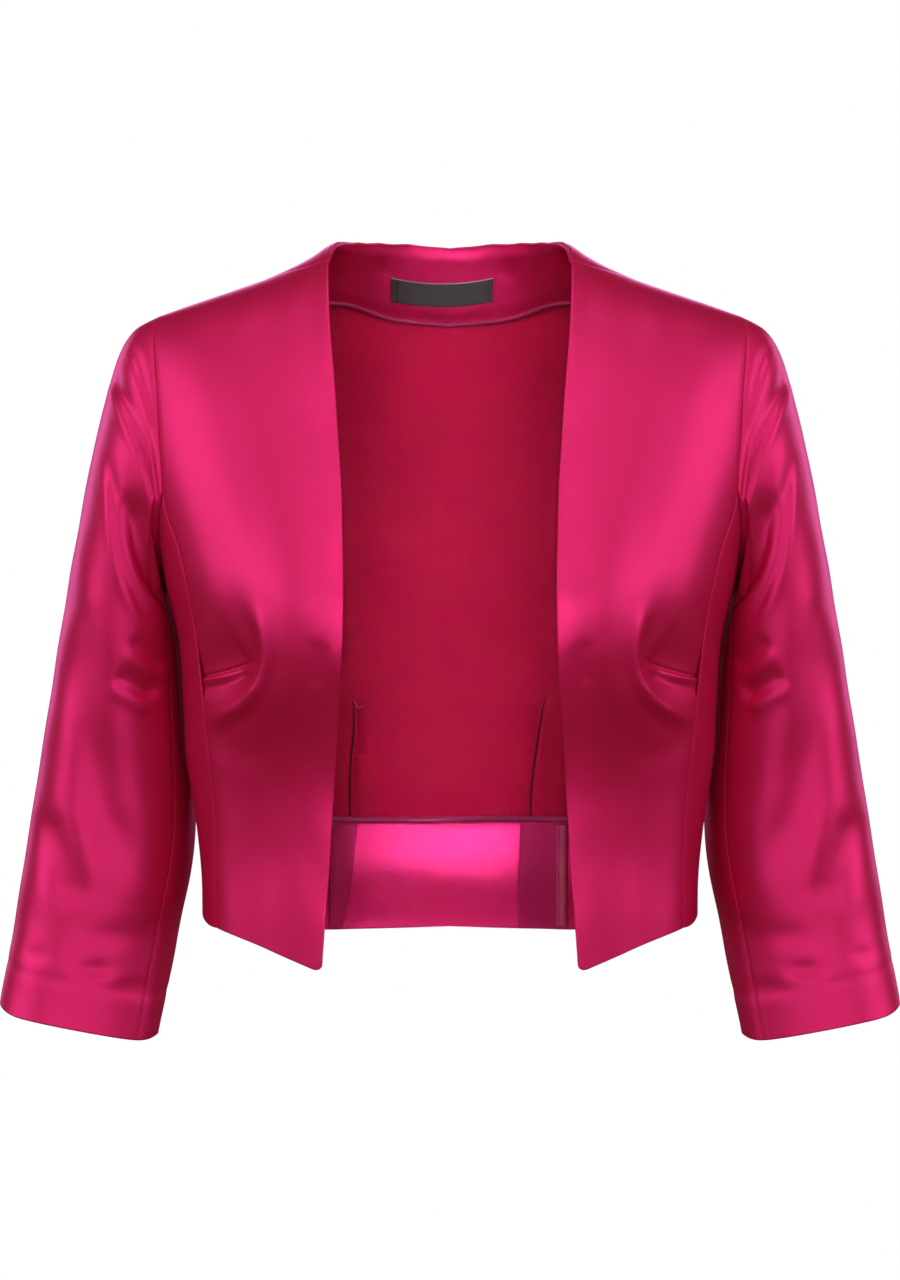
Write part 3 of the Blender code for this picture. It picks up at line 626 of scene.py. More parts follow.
def dart_depth(points):
    """How far the cloth falls in to the dart's seam, steeply from below."""
    signed, share = nearest_on(points, DART_SEAM)
    width = [start + (end - start) * share for start, end in (DART_ABOVE, DART_BELOW)]
    deep = (DART_DEPTH[0] + (DART_DEPTH[1] - DART_DEPTH[0]) * share) * fade((1 - share) * 4)
    return deep * bell(signed, np.where(signed > 0, width[1], width[0]))


def hollow_depth(points, hollows):
    depth = np.zeros(points.shape[:-1])
    for x, z, half_width, half_height, deep in hollows:
        shape = bell(points[..., 0] - x, half_width) * bell(points[..., 2] - z, half_height)
        depth = depth + deep * shape
    return depth


# Gentle swells of each panel: how high, and over what length
SWELLS = {"front": (0.35, 34.0), "side": (0.3, 26.0), "back": (0.3, 40.0), "sleeve": (0.35, 30.0)}


def unevenness(points, name):
    """Gentle swells that no cloth is without."""
    strength, wave = SWELLS[name]
    x, y, z = (points[..., axis] / wave for axis in range(3))
    swell = np.sin(2.1 * x + 1.3 * z + 0.7) + np.sin(3.3 * z - 1.1 * x + 2.0 * y + 1.9)
    return strength * (swell + 0.6 * np.sin(5.2 * x + 4.1 * y - 2.7 * z)) / 2.6


def mirrored(points):
    return points * np.array([-1, 1, 1])


def part_edges(points, seams):
    """Draws each seam edge back a little, along the cloth."""
    points = points.copy()
    sides = {
        "foot": (np.s_[0], np.s_[1]),
        "top": (np.s_[-1], np.s_[-2]),
        "first": (np.s_[:, 0], np.s_[:, 1]),
        "last": (np.s_[:, -1], np.s_[:, -2]),
    }
    for seam in seams:
        edge, inside = sides[seam]
        step = points[inside] - points[edge]
        length = np.linalg.norm(step, axis=-1, keepdims=True)
        points[edge] += unit(step) * np.minimum(0.4 * length, SEAM_PART)
    return points


def deselect():
    for obj in bpy.context.selected_objects:
        obj.select_set(False)


def grid_object(name, rows, columns):
    """A flat grid of rows by columns points, ready to be laid on a form."""
    deselect()
    bpy.ops.mesh.primitive_grid_add(x_subdivisions=columns - 1, y_subdivisions=rows - 1, size=1)
    piece = bpy.context.object
    piece.name = piece.data.name = name
    piece.location = (0, 0, 0)
    return piece


def flat_map(mesh, distances):
    """Gives each point its place on the cloth laid flat, in metres."""
    flat = np.stack([distances["first"], distances["foot"]], axis=-1).reshape(-1, 2) * MM
    corners = np.empty(len(mesh.loops), int)
    mesh.loops.foreach_get("vertex_index", corners)
    mesh.uv_layers.active.data.foreach_set("uv", flat[corners].reshape(-1))


def cloth(name, faces, flip, materials, turned_in=None):
    """A wall of cloth between its two faces. Where turned_in is true, its inside shows the outer one."""
    outer, inner = faces
    rows, columns = outer.shape[:2]
    piece = grid_object(name, rows, columns)
    piece.data.vertices.foreach_set("co", (outer * MM).reshape(-1))
    if flip:
        piece.data.flip_normals()
    flat_map(piece.data, edge_distances(outer))
    for material in materials:
        piece.data.materials.append(material)
    wall = piece.modifiers.new("wall", "SOLIDIFY")
    wall.thickness = SHELL * MM
    wall.offset = -1
    wall.material_offset = len(materials) - 1
    bpy.ops.object.modifier_apply(modifier=wall.name)
    both = np.concatenate([outer.reshape(-1, 3), inner.reshape(-1, 3)]) * MM
    piece.data.vertices.foreach_set("co", both.reshape(-1))
    if turned_in is not None:
        same = turned_in.reshape(-1)
        for face in piece.data.polygons:
            corner = min(face.vertices)
            if face.material_index and corner >= rows * columns and same[corner - rows * columns]:
                face.material_index = 0
    piece.data.update()
    piece.data.shade_smooth()
    return piece


def panel(points, sign, seams, sink, thickness=SHELL, extra=0.0, sewn=1.0):
    """The two faces of a panel: rolled at its free edges, drawn in at its seams, with its creases.

    Where sewn is 0, the edge of a seam is free.
    """
    points = part_edges(points, seams)
    body = points - sink[..., None] * grid_normals(points, sign)
    normals = grid_normals(body, sign)
    roll, turn, groove = (np.zeros(points.shape[:-1]) for _ in range(3))
    for name, away in edge_distances(points).items():
        share = sewn if name in seams else 0.0
        free = (1 - share) * rolled(away, ROLL * thickness / SHELL)
        turn = np.maximum(turn, free)
        roll = np.maximum(roll, free + share * rolled(away, SEAM_ROLL))
        if thickness >= SHELL:
            groove = np.maximum(groove, share * SEAM_DEPTH * bell(away, SEAM_WIDTH))
    outer = body - (roll + groove)[..., None] * normals
    inner = body - (thickness - turn + extra)[..., None] * normals
    return outer, inner


def cord(name, path, radius, sides, material):
    """A round cord along a path, with closed ends."""
    along = unit(np.gradient(path, axis=0))
    across = unit(np.cross(along, (0.13, 0.97, 0.21)))
    over = np.cross(along, across)
    turn = np.linspace(0, 2 * np.pi, sides + 1)
    radius = np.broadcast_to(radius, len(path))
    ring = across[:, None] * np.cos(turn)[:, None] + over[:, None] * np.sin(turn)[:, None]
    points = path[:, None] + radius[:, None, None] * ring
    points = np.concatenate([path[:1, None] + 0 * points[:1], points, path[-1:, None] + 0 * points[:1]])
    piece = grid_object(name, len(points), sides + 1)
    piece.data.vertices.foreach_set("co", (points * MM).reshape(-1))
    flat_map(piece.data, edge_distances(points))
    bpy.ops.object.mode_set(mode="EDIT")
    bpy.ops.mesh.select_all(action="SELECT")
    bpy.ops.mesh.remove_doubles(threshold=0.001 * MM)
    bpy.ops.mesh.normals_make_consistent(inside=False)
    bpy.ops.object.mode_set(mode="OBJECT")
    piece.data.materials.append(material)
    piece.data.shade_smooth()
    return piece


class Value:
    """A shader socket that takes part in sums."""

    def __init__(self, finish, socket):
        self.finish = finish
        self.socket = socket

    def maths(self, operation, first, second):
        return self.finish.node("ShaderNodeMath", {"operation": operation}, {0: first, 1: second})[0]

    def __add__(self, other):
        return self.maths("ADD", self, other)

    def __mul__(self, other):
        return self.maths("MULTIPLY", self, other)

    __radd__ = __add__
    __rmul__ = __mul__


class Finish:
    """A material under construction."""

    def __init__(self, name, colour, roughness, **uniform):
        self.material = bpy.data.materials.new(name)
        self.material.use_nodes = True
        self.nodes = self.material.node_tree.nodes
        self.links = self.material.node_tree.links
        self.shader = self.nodes["Principled BSDF"]
        self.shader.inputs["Base Color"].default_value = (*colour, 1)
        self.shader.inputs["Roughness"].default_value = roughness
        for name, value in uniform.items():
            socket = name.replace("_", " ").title().replace("Ior", "IOR")
            self.shader.inputs[socket].default_value = value

    def set(self, socket, value):
        if isinstance(value, Value):
            self.links.new(value.socket, socket)
        else:
            socket.default_value = value

    def node(self, kind, settings=None, sockets=None):
        """A node with its settings, then its sockets' values or links. Returns its outputs."""
        node = self.nodes.new(kind)
        for key, value in (settings or {}).items():
            setattr(node, key, value)
        for key, value in (sockets or {}).items():
            self.set(node.inputs[key], value)
        return [Value(self, socket) for socket in node.outputs]

    def place(self):
        """Object coordinates."""
        return self.node("ShaderNodeTexCoord")[3]

    def noise(self, vector, scale=1.0, detail=1.0):
        sockets = {"Vector": vector, "Scale": scale, "Detail": detail}
        return self.node("ShaderNodeTexNoise", {}, sockets)[0]

    def stretched(self, vector, x, y, z):
        return self.node("ShaderNodeMapping", {}, {"Vector": vector, "Scale": (x, y, z)})[0]

    def weave(self, across, along):
        """Noise on the cloth's own flat map, this fine across and along it, to the metre."""
        return self.noise(self.stretched(self.node("ShaderNodeUVMap")[0], across, along, 1.0))

    def between(self, share, first, second):
        sockets = {0: share, 6: (*first, 1), 7: (*second, 1)}
        return self.node("ShaderNodeMix", {"data_type": "RGBA"}, sockets)[2]

    def finish(self, colour, height, roughness=None, strength=0.2, distance=0.0002):
        """Links what varies, with the height as a bump this strong and this many metres deep."""
        sockets = {"Strength": strength, "Distance": distance, "Height": height}
        self.set(self.shader.inputs["Base Color"], colour)
        self.set(self.shader.inputs["Normal"], self.node("ShaderNodeBump", {}, sockets)[0])
        if roughness is not None:
            self.set(self.shader.inputs["Roughness"], roughness)
        return self.material


# Linear colours
SATIN = (0.60, 0.010, 0.074)
SATIN_DEEP = (0.54, 0.009, 0.064)
REVERSE = (0.40, 0.009, 0.085)
REVERSE_DEEP = (0.33, 0.007, 0.068)
LINING = (0.44, 0.006, 0.044)
LINING_DEEP = (0.38, 0.005, 0.035)
PIPING = (0.36, 0.022, 0.110)
PIPING_DEEP = (0.27, 0.015, 0.080)
WOVEN = (0.016, 0.014, 0.016)
WOVEN_LIGHT = (0.026, 0.022, 0.026)
WOVEN_DEEP = (0.010, 0.009, 0.010)
THREAD = (0.78, 0.17, 0.31)
# Painted shade: dark colour of the cords beside the tucks' folds, standing in for the folds' shadows
TUCK_SHADE_COLOUR = (0.075, 0.003, 0.012)
# Painted highlight: light grey of the cord along the label's top edge, standing in for the glint on that
# edge
LABEL_EDGE_HIGHLIGHT = (0.35, 0.32, 0.34)


def satin_finish():
    """The shiny face of the shell."""
    satin = Finish(
        "satin", SATIN, 0.42,
        metallic=0.56, ior=1.7, specular_ior_level=1.0, specular_tint=(0.7, 0.15, 1.0, 1),
    )
    broad = satin.noise(satin.place(), 14.0, 2.0)
    weft = satin.weave(400.0, 6000.0)
    slub = satin.weave(60.0, 1500.0)
    colour = satin.between(broad * 0.7 + weft * 0.3, SATIN_DEEP, SATIN)
    height = weft + 0.6 * slub
    return satin.finish(colour, height, roughness=0.38 + 0.09 * slub, strength=0.12, distance=0.0001)


def reverse_finish():
    """The dull wrong side of the satin."""
    tint = (1.0, 0.3, 0.5, 1)
    reverse = Finish("satin_reverse", REVERSE, 0.6, specular_ior_level=0.3, specular_tint=tint)
    weft = reverse.weave(2500.0, 5000.0)
    return reverse.finish(reverse.between(weft, REVERSE_DEEP, REVERSE), weft, distance=0.0001)


def lining_finish():
    lining = Finish("lining", LINING, 0.6, specular_ior_level=0.2, specular_tint=(1.0, 0.2, 0.4, 1))
    cloudy = lining.noise(lining.place(), 22.0, 3.0)
    weft = lining.weave(5000.0, 2500.0)
    colour = lining.between(cloudy * 0.8 + weft * 0.2, LINING_DEEP, LINING)
    return lining.finish(colour, weft, roughness=0.56 + 0.1 * weft, strength=0.25, distance=0.0001)


def piping_finish():
    piping = Finish("piping", PIPING, 0.5, specular_tint=(1.0, 0.3, 0.6, 1))
    bias = piping.noise(piping.stretched(piping.place(), 700.0, 700.0, 2200.0))
    return piping.finish(piping.between(bias, PIPING_DEEP, PIPING), bias, strength=0.3)


def label_finish():
    label = Finish("label", WOVEN, 0.5)
    ribs = label.weave(300.0, 3500.0)
    colour = label.between(ribs, WOVEN_DEEP, WOVEN_LIGHT)
    return label.finish(colour, ribs, roughness=0.42 + 0.2 * ribs, strength=0.4)


def thread_finish(name, colour):
    twisted = Finish(name, colour, 0.5, specular_ior_level=0.2, specular_tint=(1.0, 0.5, 0.7, 1))
    ply = twisted.noise(twisted.place(), 2500.0)
    darker = tuple(0.6 * part for part in colour)
    return twisted.finish(twisted.between(ply, darker, colour), ply, strength=0.3)


# Lines up and across a panel: how many, and over what length
FRONT_LINES = ((150, 480), (60, 100))
SIDE_LINES = ((105, 290), (34, 105))
BACK_LINES = (150, 470)
NECK_FACING_LINES = (24, 75)
HEM_FACING_LINES = (30, 73)
SLEEVE_LINES = (210, 490)
# Columns in each half of the back and of its hem facing
BACK_COLUMNS = 84
HEM_FACING_COLUMNS = 70
# Part of the front where its dart lies, in rows of its measure, and how many lines it takes
DART_ROWS = (7.2, 8.7)
DART_LINES = 80
# How far the shell's own cloth turns in behind the front edge, the hem and the cuff
FACING_WIDTH = 55.0
HEM_WIDTH = 73.0
CUFF_TURN = 36.0
# Radius of the pressed allowance behind the armhole seam, and how far in it lies
ALLOWANCE = 1.1
ALLOWANCE_DEPTH = 1.6
# How far the neck facing and the turned-up hem stand off the back
FACING_PUFF = 1.4
HEM_PUFF = 2.2
# Dimples at the label's ends: place across, height, half width and height, share of the puff lost
FACING_DIMPLES = ((-47.0, 19.5, 5.0, 0.9), (40.0, 19.5, 5.0, 0.9))
# Radius of the pipings, and how far the lining and its tucks stand off
NECK_PIPING = 1.5
HEM_PIPING = 2.1
LINING_CLEAR = 3.0
TUCK_HEIGHT = 2.0
# Half width of the lining's columns by their own measure, their number, and its lines upwards
LINING_REACH = 130.0
LINING_COLUMNS = 76
LINING_LINES = (125, 340)
# The tucks: how far the cord of painted shade lies beside the fold, their height at the top and the
# middle, how far to both sides the columns follow the fold, and how close to it only its own
# columns run
TUCK_SHADE_LINE_AT = 1.5
TUCK_TOP = -268.0
TUCK_MIDDLE = -310.0
TUCK_REACH = 30.0
TUCK_OWN = 7.0
# Folded edge of each tuck as height and place across
TUCKS = (
    ((-352, -68.9), (-338, -69.3), (-309, -68.7), (-292, -66.8), (-268, -67.3)),
    ((-352, 56.0), (-332, 56.5), (-292, 61.9), (-276, 64.5), (-268, 66.5)),
)
# Section of a tuck: column's place, place of the cloth past the folded edge, height over the lining
TUCK_SECTION = (
    (-4.0, -4.0, 0.0),
    (-2.2, -2.2, 0.0),
    (-1.2, -0.8, 0.0),
    (-0.6, 0.4, 0.1),
    (-0.2, 1.3, 0.3),
    (0.1, 1.6, 0.7),
    (0.4, 1.1, 1.1),
    (0.8, 0.0, 1.3),
    (1.3, -0.8, 1.7),
    (2.0, -0.7, 2.3),
    (3.0, 0.6, 2.6),
    (4.5, 3.4, 2.3),
    (6.5, 6.5, 1.8),
    (10.0, 10.0, 1.0),
    (15.0, 15.0, 0.0),
)
# Soft light of the room
ROOM_LIGHT = 0.15
ROOM_COLOUR = (1.0, 0.5, 0.18, 1)
# The lamps: place, target, width, height, power, spread in degrees. Those off the middle are pairs
LAMPS = (
    ("low", (1.35, -2.9, 0.3), (0, 0, -0.2), 0.9, 0.8, 10.5, 180),
    ("high", (0.9, -2.4, 1.9), (0, 0, -0.1), 0.9, 0.7, 10.0, 180),
    ("side", (2.6, -1.1, 0.7), (0, 0, -0.15), 1.7, 2.2, 33.0, 180),
    ("back", (2.2, 2.2, 0.6), (0, 0, -0.2), 1.4, 1.8, 20.0, 180),
    ("behind", (0.0, 3.0, 1.2), (0, 0, -0.2), 1.8, 1.0, 26.0, 180),
    ("top", (0.0, -0.9, 2.6), (0, 0, -0.1), 2.4, 1.0, 24.0, 180),
    ("fill", (0.0, -3.9, 0.1), (0, 0, -0.25), 0.9, 1.0, 7.5, 180),
    ("knee", (0.7, -3.5, -0.65), (0, 0, -0.25), 0.7, 0.5, 6.0, 180),
    ("inside", (0.0, -3.6, 0.1), (0, 0.06, -0.2), 0.10, 0.5, 0.12, 3),
)
# The floor and the camera's place, in metres
FLOOR_SIZE = 8.0
FLOOR_HEIGHT = -1.35
CAMERA_PLACE = (0, -3.2, -0.23)
CAMERA_LENS = 136.4
# Cut of each panel, in metres: width, length, area
CUTS = {
    "front": (0.155, 0.480, 0.052),
    "side": (0.115, 0.300, 0.0287),
    "back": (0.410, 0.475, 0.158),
    "sleeve_top": (0.290, 0.485, 0.090),
    "sleeve_under": (0.110, 0.390, 0.0263),
    "neck_facing": (0.410, 0.080, 0.020),
    "hem_facing": (0.290, 0.076, 0.020),
    "back_lining": (0.400, 0.360, 0.120),
}


def declare(piece, node, area):
    """Attaches a cloth piece to the jacket's root and hides the solid that it stands for. The area it
    was cut to, in metres, is not used.
    """
    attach(piece, "root")
    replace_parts(piece, node)


def declare_cut(piece, node, name):
    """Attaches a panel and hides its solid, passing on the area that CUTS gives for it."""
    declare(piece, node, CUTS[name][2])


def thread(name, path, radius, sides, material):
    """A cord that rides with the jacket."""
    piece = cord(name, path, radius, sides, material)
    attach(piece, "root")
    return piece


def both_sides(name, faces, materials, turned_in=None):
    """The right panel and its mirrored left one."""
    for side, turned in (("right", False), ("left", True)):
        drawn = tuple(mirrored(face) for face in faces) if turned else faces
        piece = cloth(f"{name}_cloth_{side}", drawn, turned, materials, turned_in)
        declare_cut(piece, f"{name}_{side}", name)


def make_fronts(materials):
    """Both fronts, with the dart and the pulls at it."""
    rows = lines(*FRONT_LINES[0], FRONT_TOP_ROW)
    dart = np.linspace(*DART_ROWS, DART_LINES)
    rows = np.sort(np.concatenate([rows[(rows < dart[0]) | (rows > dart[-1])], dart]))
    points = front_grid(rows, lines(*FRONT_LINES[1]))
    distance = edge_distances(points)
    sink = crease_depth(points, grid_normals(points, 1), FRONT_CREASES)
    sink = sink + hollow_depth(points, FRONT_HOLLOWS)
    fall = fade((FRONT_FALL_TOP - points[..., 2]) / FRONT_FALL_LENGTH)
    sink = sink + dart_depth(points) + FRONT_FALL * fall * off_edges(distance, last=45)
    sink = sink + off_edges(distance, top=30, last=30) * unevenness(points, "front")
    turned_in = (distance["first"] < FACING_WIDTH) | (distance["foot"] < HEM_WIDTH)
    both_sides("front", panel(points, 1, ("top", "last"), sink), materials, turned_in)


def make_sides(materials):
    """Both side panels, under the arms."""
    points = side_grid(lines(*SIDE_LINES[0], SEAM_TOP_ROW), lines(*SIDE_LINES[1]))
    distance = edge_distances(points)
    sink = off_edges(distance, top=20, first=20, last=20) * unevenness(points, "side")
    turned_in = distance["foot"] < HEM_WIDTH
    both_sides("side", panel(points, 1, ("top", "first", "last"), sink), materials, turned_in)


def whole_back(points):
    """Both halves of the back from its right one."""
    return np.concatenate([mirrored(points)[:, :0:-1], points], axis=1)


def back_shares(count):
    """Shares from the middle out, with one at the neck's corner and more at the outer edge."""
    corner = NECKLINE[-1][0] / SHOULDER_POINT
    inner = np.linspace(0, corner, count // 2 + 1)[:-1]
    outer = np.linspace(corner, 1, count // 2 + 1)
    steps = np.array(ROLL_STEPS) / SHOULDER_POINT
    outer = outer[outer < 1 - CLEAR_OF_ROLL / SHOULDER_POINT]
    return np.concatenate([inner, outer, 1 - steps[::-1], [1]])


def back_sink(points, normals):
    """The folds of the back, which its inner layers share."""
    x, z = np.abs(points[..., 0]), points[..., 2]
    inside = fade((smooth(CUT, 3, z) - x) / 20) * fade((smooth(RIDGE, 1, x) - z) / 40)
    sink = crease_depth(points, normals, BACK_CREASES) + unevenness(points, "back")
    return sink * inside * fade((z - smooth(BACK_HEM, 1, x)) / 12)


def back_rows(count, length, first, last):
    """Rows of a layer of the back between two of its measures."""
    return first + lines(count, length, last - first)


def make_back(materials):
    """The back, whose top is sewn at the shoulders and free along the neck."""
    points = whole_back(back_grid(back_rows(*BACK_LINES, 0, BACK_TOP_ROW), back_shares(BACK_COLUMNS)))
    sink = back_sink(points, grid_normals(points, -1))
    sewn = fade((np.abs(points[..., 0]) - NECKLINE[-1][0] + 2) / 3)
    faces = panel(points, -1, ("top", "first", "last"), sink, sewn=sewn)
    piece = cloth("back_cloth", faces, True, materials)
    declare_cut(piece, "back", "back")


def inner_layer(name, rows, shares, puff, edge, material):
    """A layer inside the back, as far in as the shell and a gap, standing off by its puff."""
    points = whole_back(back_grid(rows, shares))
    normals = grid_normals(points, -1)
    sink = back_sink(points, normals) + SHELL + GAP + puff(points, edge_distances(points))
    faces = panel(points, -1, (edge,), sink, SKIN)
    declare_cut(cloth(f"{name}_cloth", faces, True, (material, material)), name, name)


def make_sleeves(materials):
    """Both sleeves. Each part has its start and end round the armhole, its columns and its width."""
    lengths = lines(*SLEEVE_LINES)
    parts = {
        "sleeve_top": (ARMHOLE_BACK_STARTS, ARMHOLE_TURN + SLEEVE_FRONT_SEAM_AT, 150, 290),
        "sleeve_under": (SLEEVE_FRONT_SEAM_AT, ARMHOLE_BACK_STARTS, 42, 90),
    }
    for name, (start, end, count, width) in parts.items():
        tube = sleeve_grid(lengths, start + (end - start) * lines(count, width))
        tube = keep_clear(tube, lengths, crease_depth(tube, grid_normals(tube, 1), SLEEVE_CREASES))
        distance = edge_distances(tube)
        sink = off_edges(distance, foot=25, first=15, last=15) * unevenness(tube, "sleeve")
        sink = sink + CUFF_HEM_DEPTH * bell(distance["top"] - CUFF_HEM, CUFF_HEM_WIDTH)
        sink = sink + fade(1 - tube[..., 1] / 10) * hollow_depth(tube, CUFF_DIMPLES)
        faces = panel(tube, 1, ("foot", "first", "last"), sink)
        both_sides(name, faces, materials, distance["top"] < CUFF_TURN)


def make_armhole_allowances(material):
    """The pressed seam allowance behind each armhole seam."""
    edge = armhole(np.linspace(0, ARMHOLE_TURN, 360))
    inwards = (edge.mean(axis=0) - edge) * np.array([0, 1, 1])
    path = edge + ALLOWANCE_DEPTH * unit(inwards)
    for side, drawn in (("right", path), ("left", mirrored(path))):
        thread(f"armhole_allowance_{side}", drawn, ALLOWANCE, 10, material)


def facing_puff(points, distance):
    """The neck facing stands off a little, but for the dimples where the label is sewn on."""
    x, z = points[..., 0], points[..., 2]
    full = FACING_PUFF * off_edges(distance, foot=9, top=9)
    for dimple_x, dimple_z, width, deep in FACING_DIMPLES:
        full = full * (1 - deep * bell(x - dimple_x, width) * bell(z - dimple_z, width))
    return full


def hem_puff(points, distance):
    """The turned-up hem stands off between its two edges, the most at its middle."""
    share = distance["foot"] / (distance["foot"] + distance["top"])
    fullest_in_middle = 0.75 + 0.25 * np.cos((points[..., 0] - 4) / 45)
    return HEM_PUFF * np.sin(np.pi * share) ** 2 * fullest_in_middle


def inside_back(x, z, depth, folds=1.0):
    """Points inside the back at a place across and a height, as deep inwards as told."""
    step = 1.0
    points = torso_at(x, z, 1)
    across = torso_at(x + step, z, 1) - torso_at(x - step, z, 1)
    up = torso_at(x, z + step, 1) - torso_at(x, z - step, 1)
    normals = unit(np.cross(up, across))
    return points - (depth + folds * back_sink(points, normals))[..., None] * normals


def tuck_lines(z):
    """The folded edges of both tucks at each height."""
    return [smooth(path, 1, z) for path in TUCKS]


def lining_grid():
    """Points of the lining, with columns that follow the folded edges of its tucks."""
    left, right = (float(edge) for edge in tuck_lines(np.array(TUCK_MIDDLE)))
    even = np.linspace(-LINING_REACH, LINING_REACH, LINING_COLUMNS)
    fine = np.array(TUCK_SECTION)[:-2, 0]
    far = (np.abs(even[:, None] - np.array([left, right])) > TUCK_OWN).all(axis=1)
    columns = np.sort(np.concatenate([even[far], left - fine, right + fine]))
    keys = (
        -LINING_REACH, left - TUCK_REACH, left, left + TUCK_REACH,
        right - TUCK_REACH, right, right + TUCK_REACH, LINING_REACH,
    )
    share = lines(*LINING_LINES)[:, None]
    z = HEM_FACING_TOP * (1 - share) - 12 * share + columns * 0
    for _ in range(12):
        here = tuck_lines(z[:, len(columns) // 2])
        edge = smooth(CUT, 3, z)
        x = np.empty(z.shape)
        for row, (first, second) in enumerate(zip(*here)):
            places = (
                -edge[row, 0], left - TUCK_REACH, first, left + TUCK_REACH,
                right - TUCK_REACH, second, right + TUCK_REACH, edge[row, -1],
            )
            x[row] = np.interp(columns, keys, places)
        z = HEM_FACING_TOP * (1 - share) + smooth(FACING_EDGE, 1, np.abs(x)) * share
    return x, z


def lining_depth(x, z):
    """How deep inside the back its lining hangs, clear of the folds of the shell."""
    plain = np.full(x.shape, SHELL + GAP)
    folds = np.linalg.norm(inside_back(x, z, plain) - inside_back(x, z, plain, 0.0), axis=-1)
    away = fade((z - HEM_FACING_TOP) / 45) * fade((smooth(FACING_EDGE, 1, np.abs(x)) - z) / 30)
    clear = LINING_CLEAR * away * fade((smooth(CUT, 3, z) - np.abs(x)) / 20)
    return plain + folds * (1 - away) + np.maximum(clear, folds * away)


def make_lining(materials):
    """The back lining, folded over in its two tucks above the turned-up hem."""
    x, z = lining_grid()
    points = inside_back(x, z, lining_depth(x, z), 0.0)
    extra = np.zeros(x.shape)
    along = np.zeros(x.shape)
    for path, edge in zip(TUCKS, tuck_lines(z)):
        outwards = np.sign(path[0][1])
        past = (x - edge) * outwards
        share = fade((TUCK_TOP + 4 - z) / 10) * (np.abs(past) < 15)
        along = along + outwards * share * (np.interp(past, *np.array(TUCK_SECTION).T[:2]) - past)
        extra = extra + share * np.interp(past, *np.array(TUCK_SECTION).T[[0, 2]])
    outer, inner = panel(points, -1, ("foot", "top"), np.zeros(x.shape), SKIN, extra)
    inner = inner + along[..., None] * np.array([1, 0, 0])
    piece = cloth("back_lining_cloth", (outer, inner), True, materials)
    declare_cut(piece, "back_lining", "back_lining")


def make_painted_tuck_shades(stitches):
    """Dark cords beside each tuck's folded edge: painted shade for the shadow that the fold casts."""
    z = np.linspace(HEM_FACING_TOP + 2, TUCK_TOP, 60)
    for side, path, edge in zip(("left", "right"), TUCKS, tuck_lines(z)):
        x = edge - np.sign(path[0][1]) * TUCK_SHADE_LINE_AT
        points = inside_back(x, z, lining_depth(x, z) + SKIN + 0.2, 0.0)
        swell = fade((TUCK_TOP - z) / 25)
        thread(f"tuck_shade_line_{side}", points, 0.25 + 0.6 * swell, 8, stitches)


def make_pipings(material):
    """Bias pipings over the lower edge of the neck facing and the top edge of the hem."""
    x = np.linspace(-176, 176, 260)
    z = smooth(FACING_EDGE, 1, np.abs(x)) - NECK_PIPING
    path = inside_back(x, z, np.full(x.shape, SECOND_LAYER + NECK_PIPING))
    radius = NECK_PIPING * (1 + 0.03 * np.sin(x / 2.3))
    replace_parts(thread("neck_piping_cord", path, radius, 14, material), "neck_piping")
    x = np.linspace(-127, 127, 200)
    z = HEM_FACING_TOP + 0.35 * np.sin(x / 23)
    path = inside_back(x, z, np.full(x.shape, SECOND_LAYER + TUCK_HEIGHT + HEM_PIPING))
    radius = HEM_PIPING * (1 + 0.025 * np.sin(x / 2.9))
    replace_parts(thread("hem_piping_cord", path, radius, 16, material), "hem_piping")


# How a strip inside the back stands off: at its left, right and middle, in waves and above the hem,
# and how far its middle lies above its ends
LEFT_ALLOWANCE = {"left": 0.4, "right": 3.2, "middle": 0.3, "wave": 0.25, "hem": 2.0, "rise": 0.0}
RIGHT_ALLOWANCE = {"left": 3.4, "right": 0.8, "middle": 0.4, "wave": 0.35, "hem": 2.0, "rise": 0.0}
LABEL_THICKNESS = 0.7
LABEL_LIFT = {"left": 1.4, "right": 1.4, "middle": 2.0, "wave": 0.0, "hem": 0.0, "rise": -3.4}


def strip_depth(up, over, lift):
    """How deep inside the back a strip lies, at shares of its height and its width."""
    depth = SECOND_LAYER + lift["left"] * (1 - over) ** 2 + lift["right"] * over**2
    depth = depth + lift["middle"] * 4 * over * (1 - over) + lift["wave"] * np.sin(up * 5 + over * 4)
    return depth + lift["hem"] * np.sin(np.pi * up) ** 2


def strip(node, left, right, heights, lift, cells, material, thickness=SKIN):
    """A strip of cloth inside the back. Its two edges are paths of height and place across."""
    up = lines(cells[1], abs(heights[1] - heights[0]))[:, None]
    over = lines(cells[0], abs(right[0][1] - left[0][1]))[None, :]
    z = heights[0] + (heights[1] - heights[0]) * up + 0 * over
    start, end = smooth(left, 1, z), smooth(right, 1, z)
    x = start + (end - start) * over
    z = z + lift["rise"] * 4 * over * (1 - over)
    points = inside_back(x, z, strip_depth(up, over, lift))
    faces = panel(points, -1, (), np.zeros(x.shape), thickness)
    name = "_cloth_".join(node.rsplit("_", 1)) if "_" in node else f"{node}_cloth"
    piece = cloth(name, faces, True, (material, material))
    width, height = (x[:, -1] - x[:, 0]) * MM, abs(heights[1] - heights[0]) * MM
    declare(piece, node, float(width.mean()) * height)
    return points


# Overlock of the right allowance: its heights and how many stitches, then for the stitches and for
# the loops beside them the two places that they turn at and their radius
OVERLOCK_HEIGHTS = (-422, -354)
OVERLOCK_STITCHES = 106
OVERLOCK = (("stitches", 78.8, 73.6, 0.22), ("loops", 72.9, 73.35, 0.26))
# How far a line of stitching stands off its cloth
THREAD_LIFT = 0.12


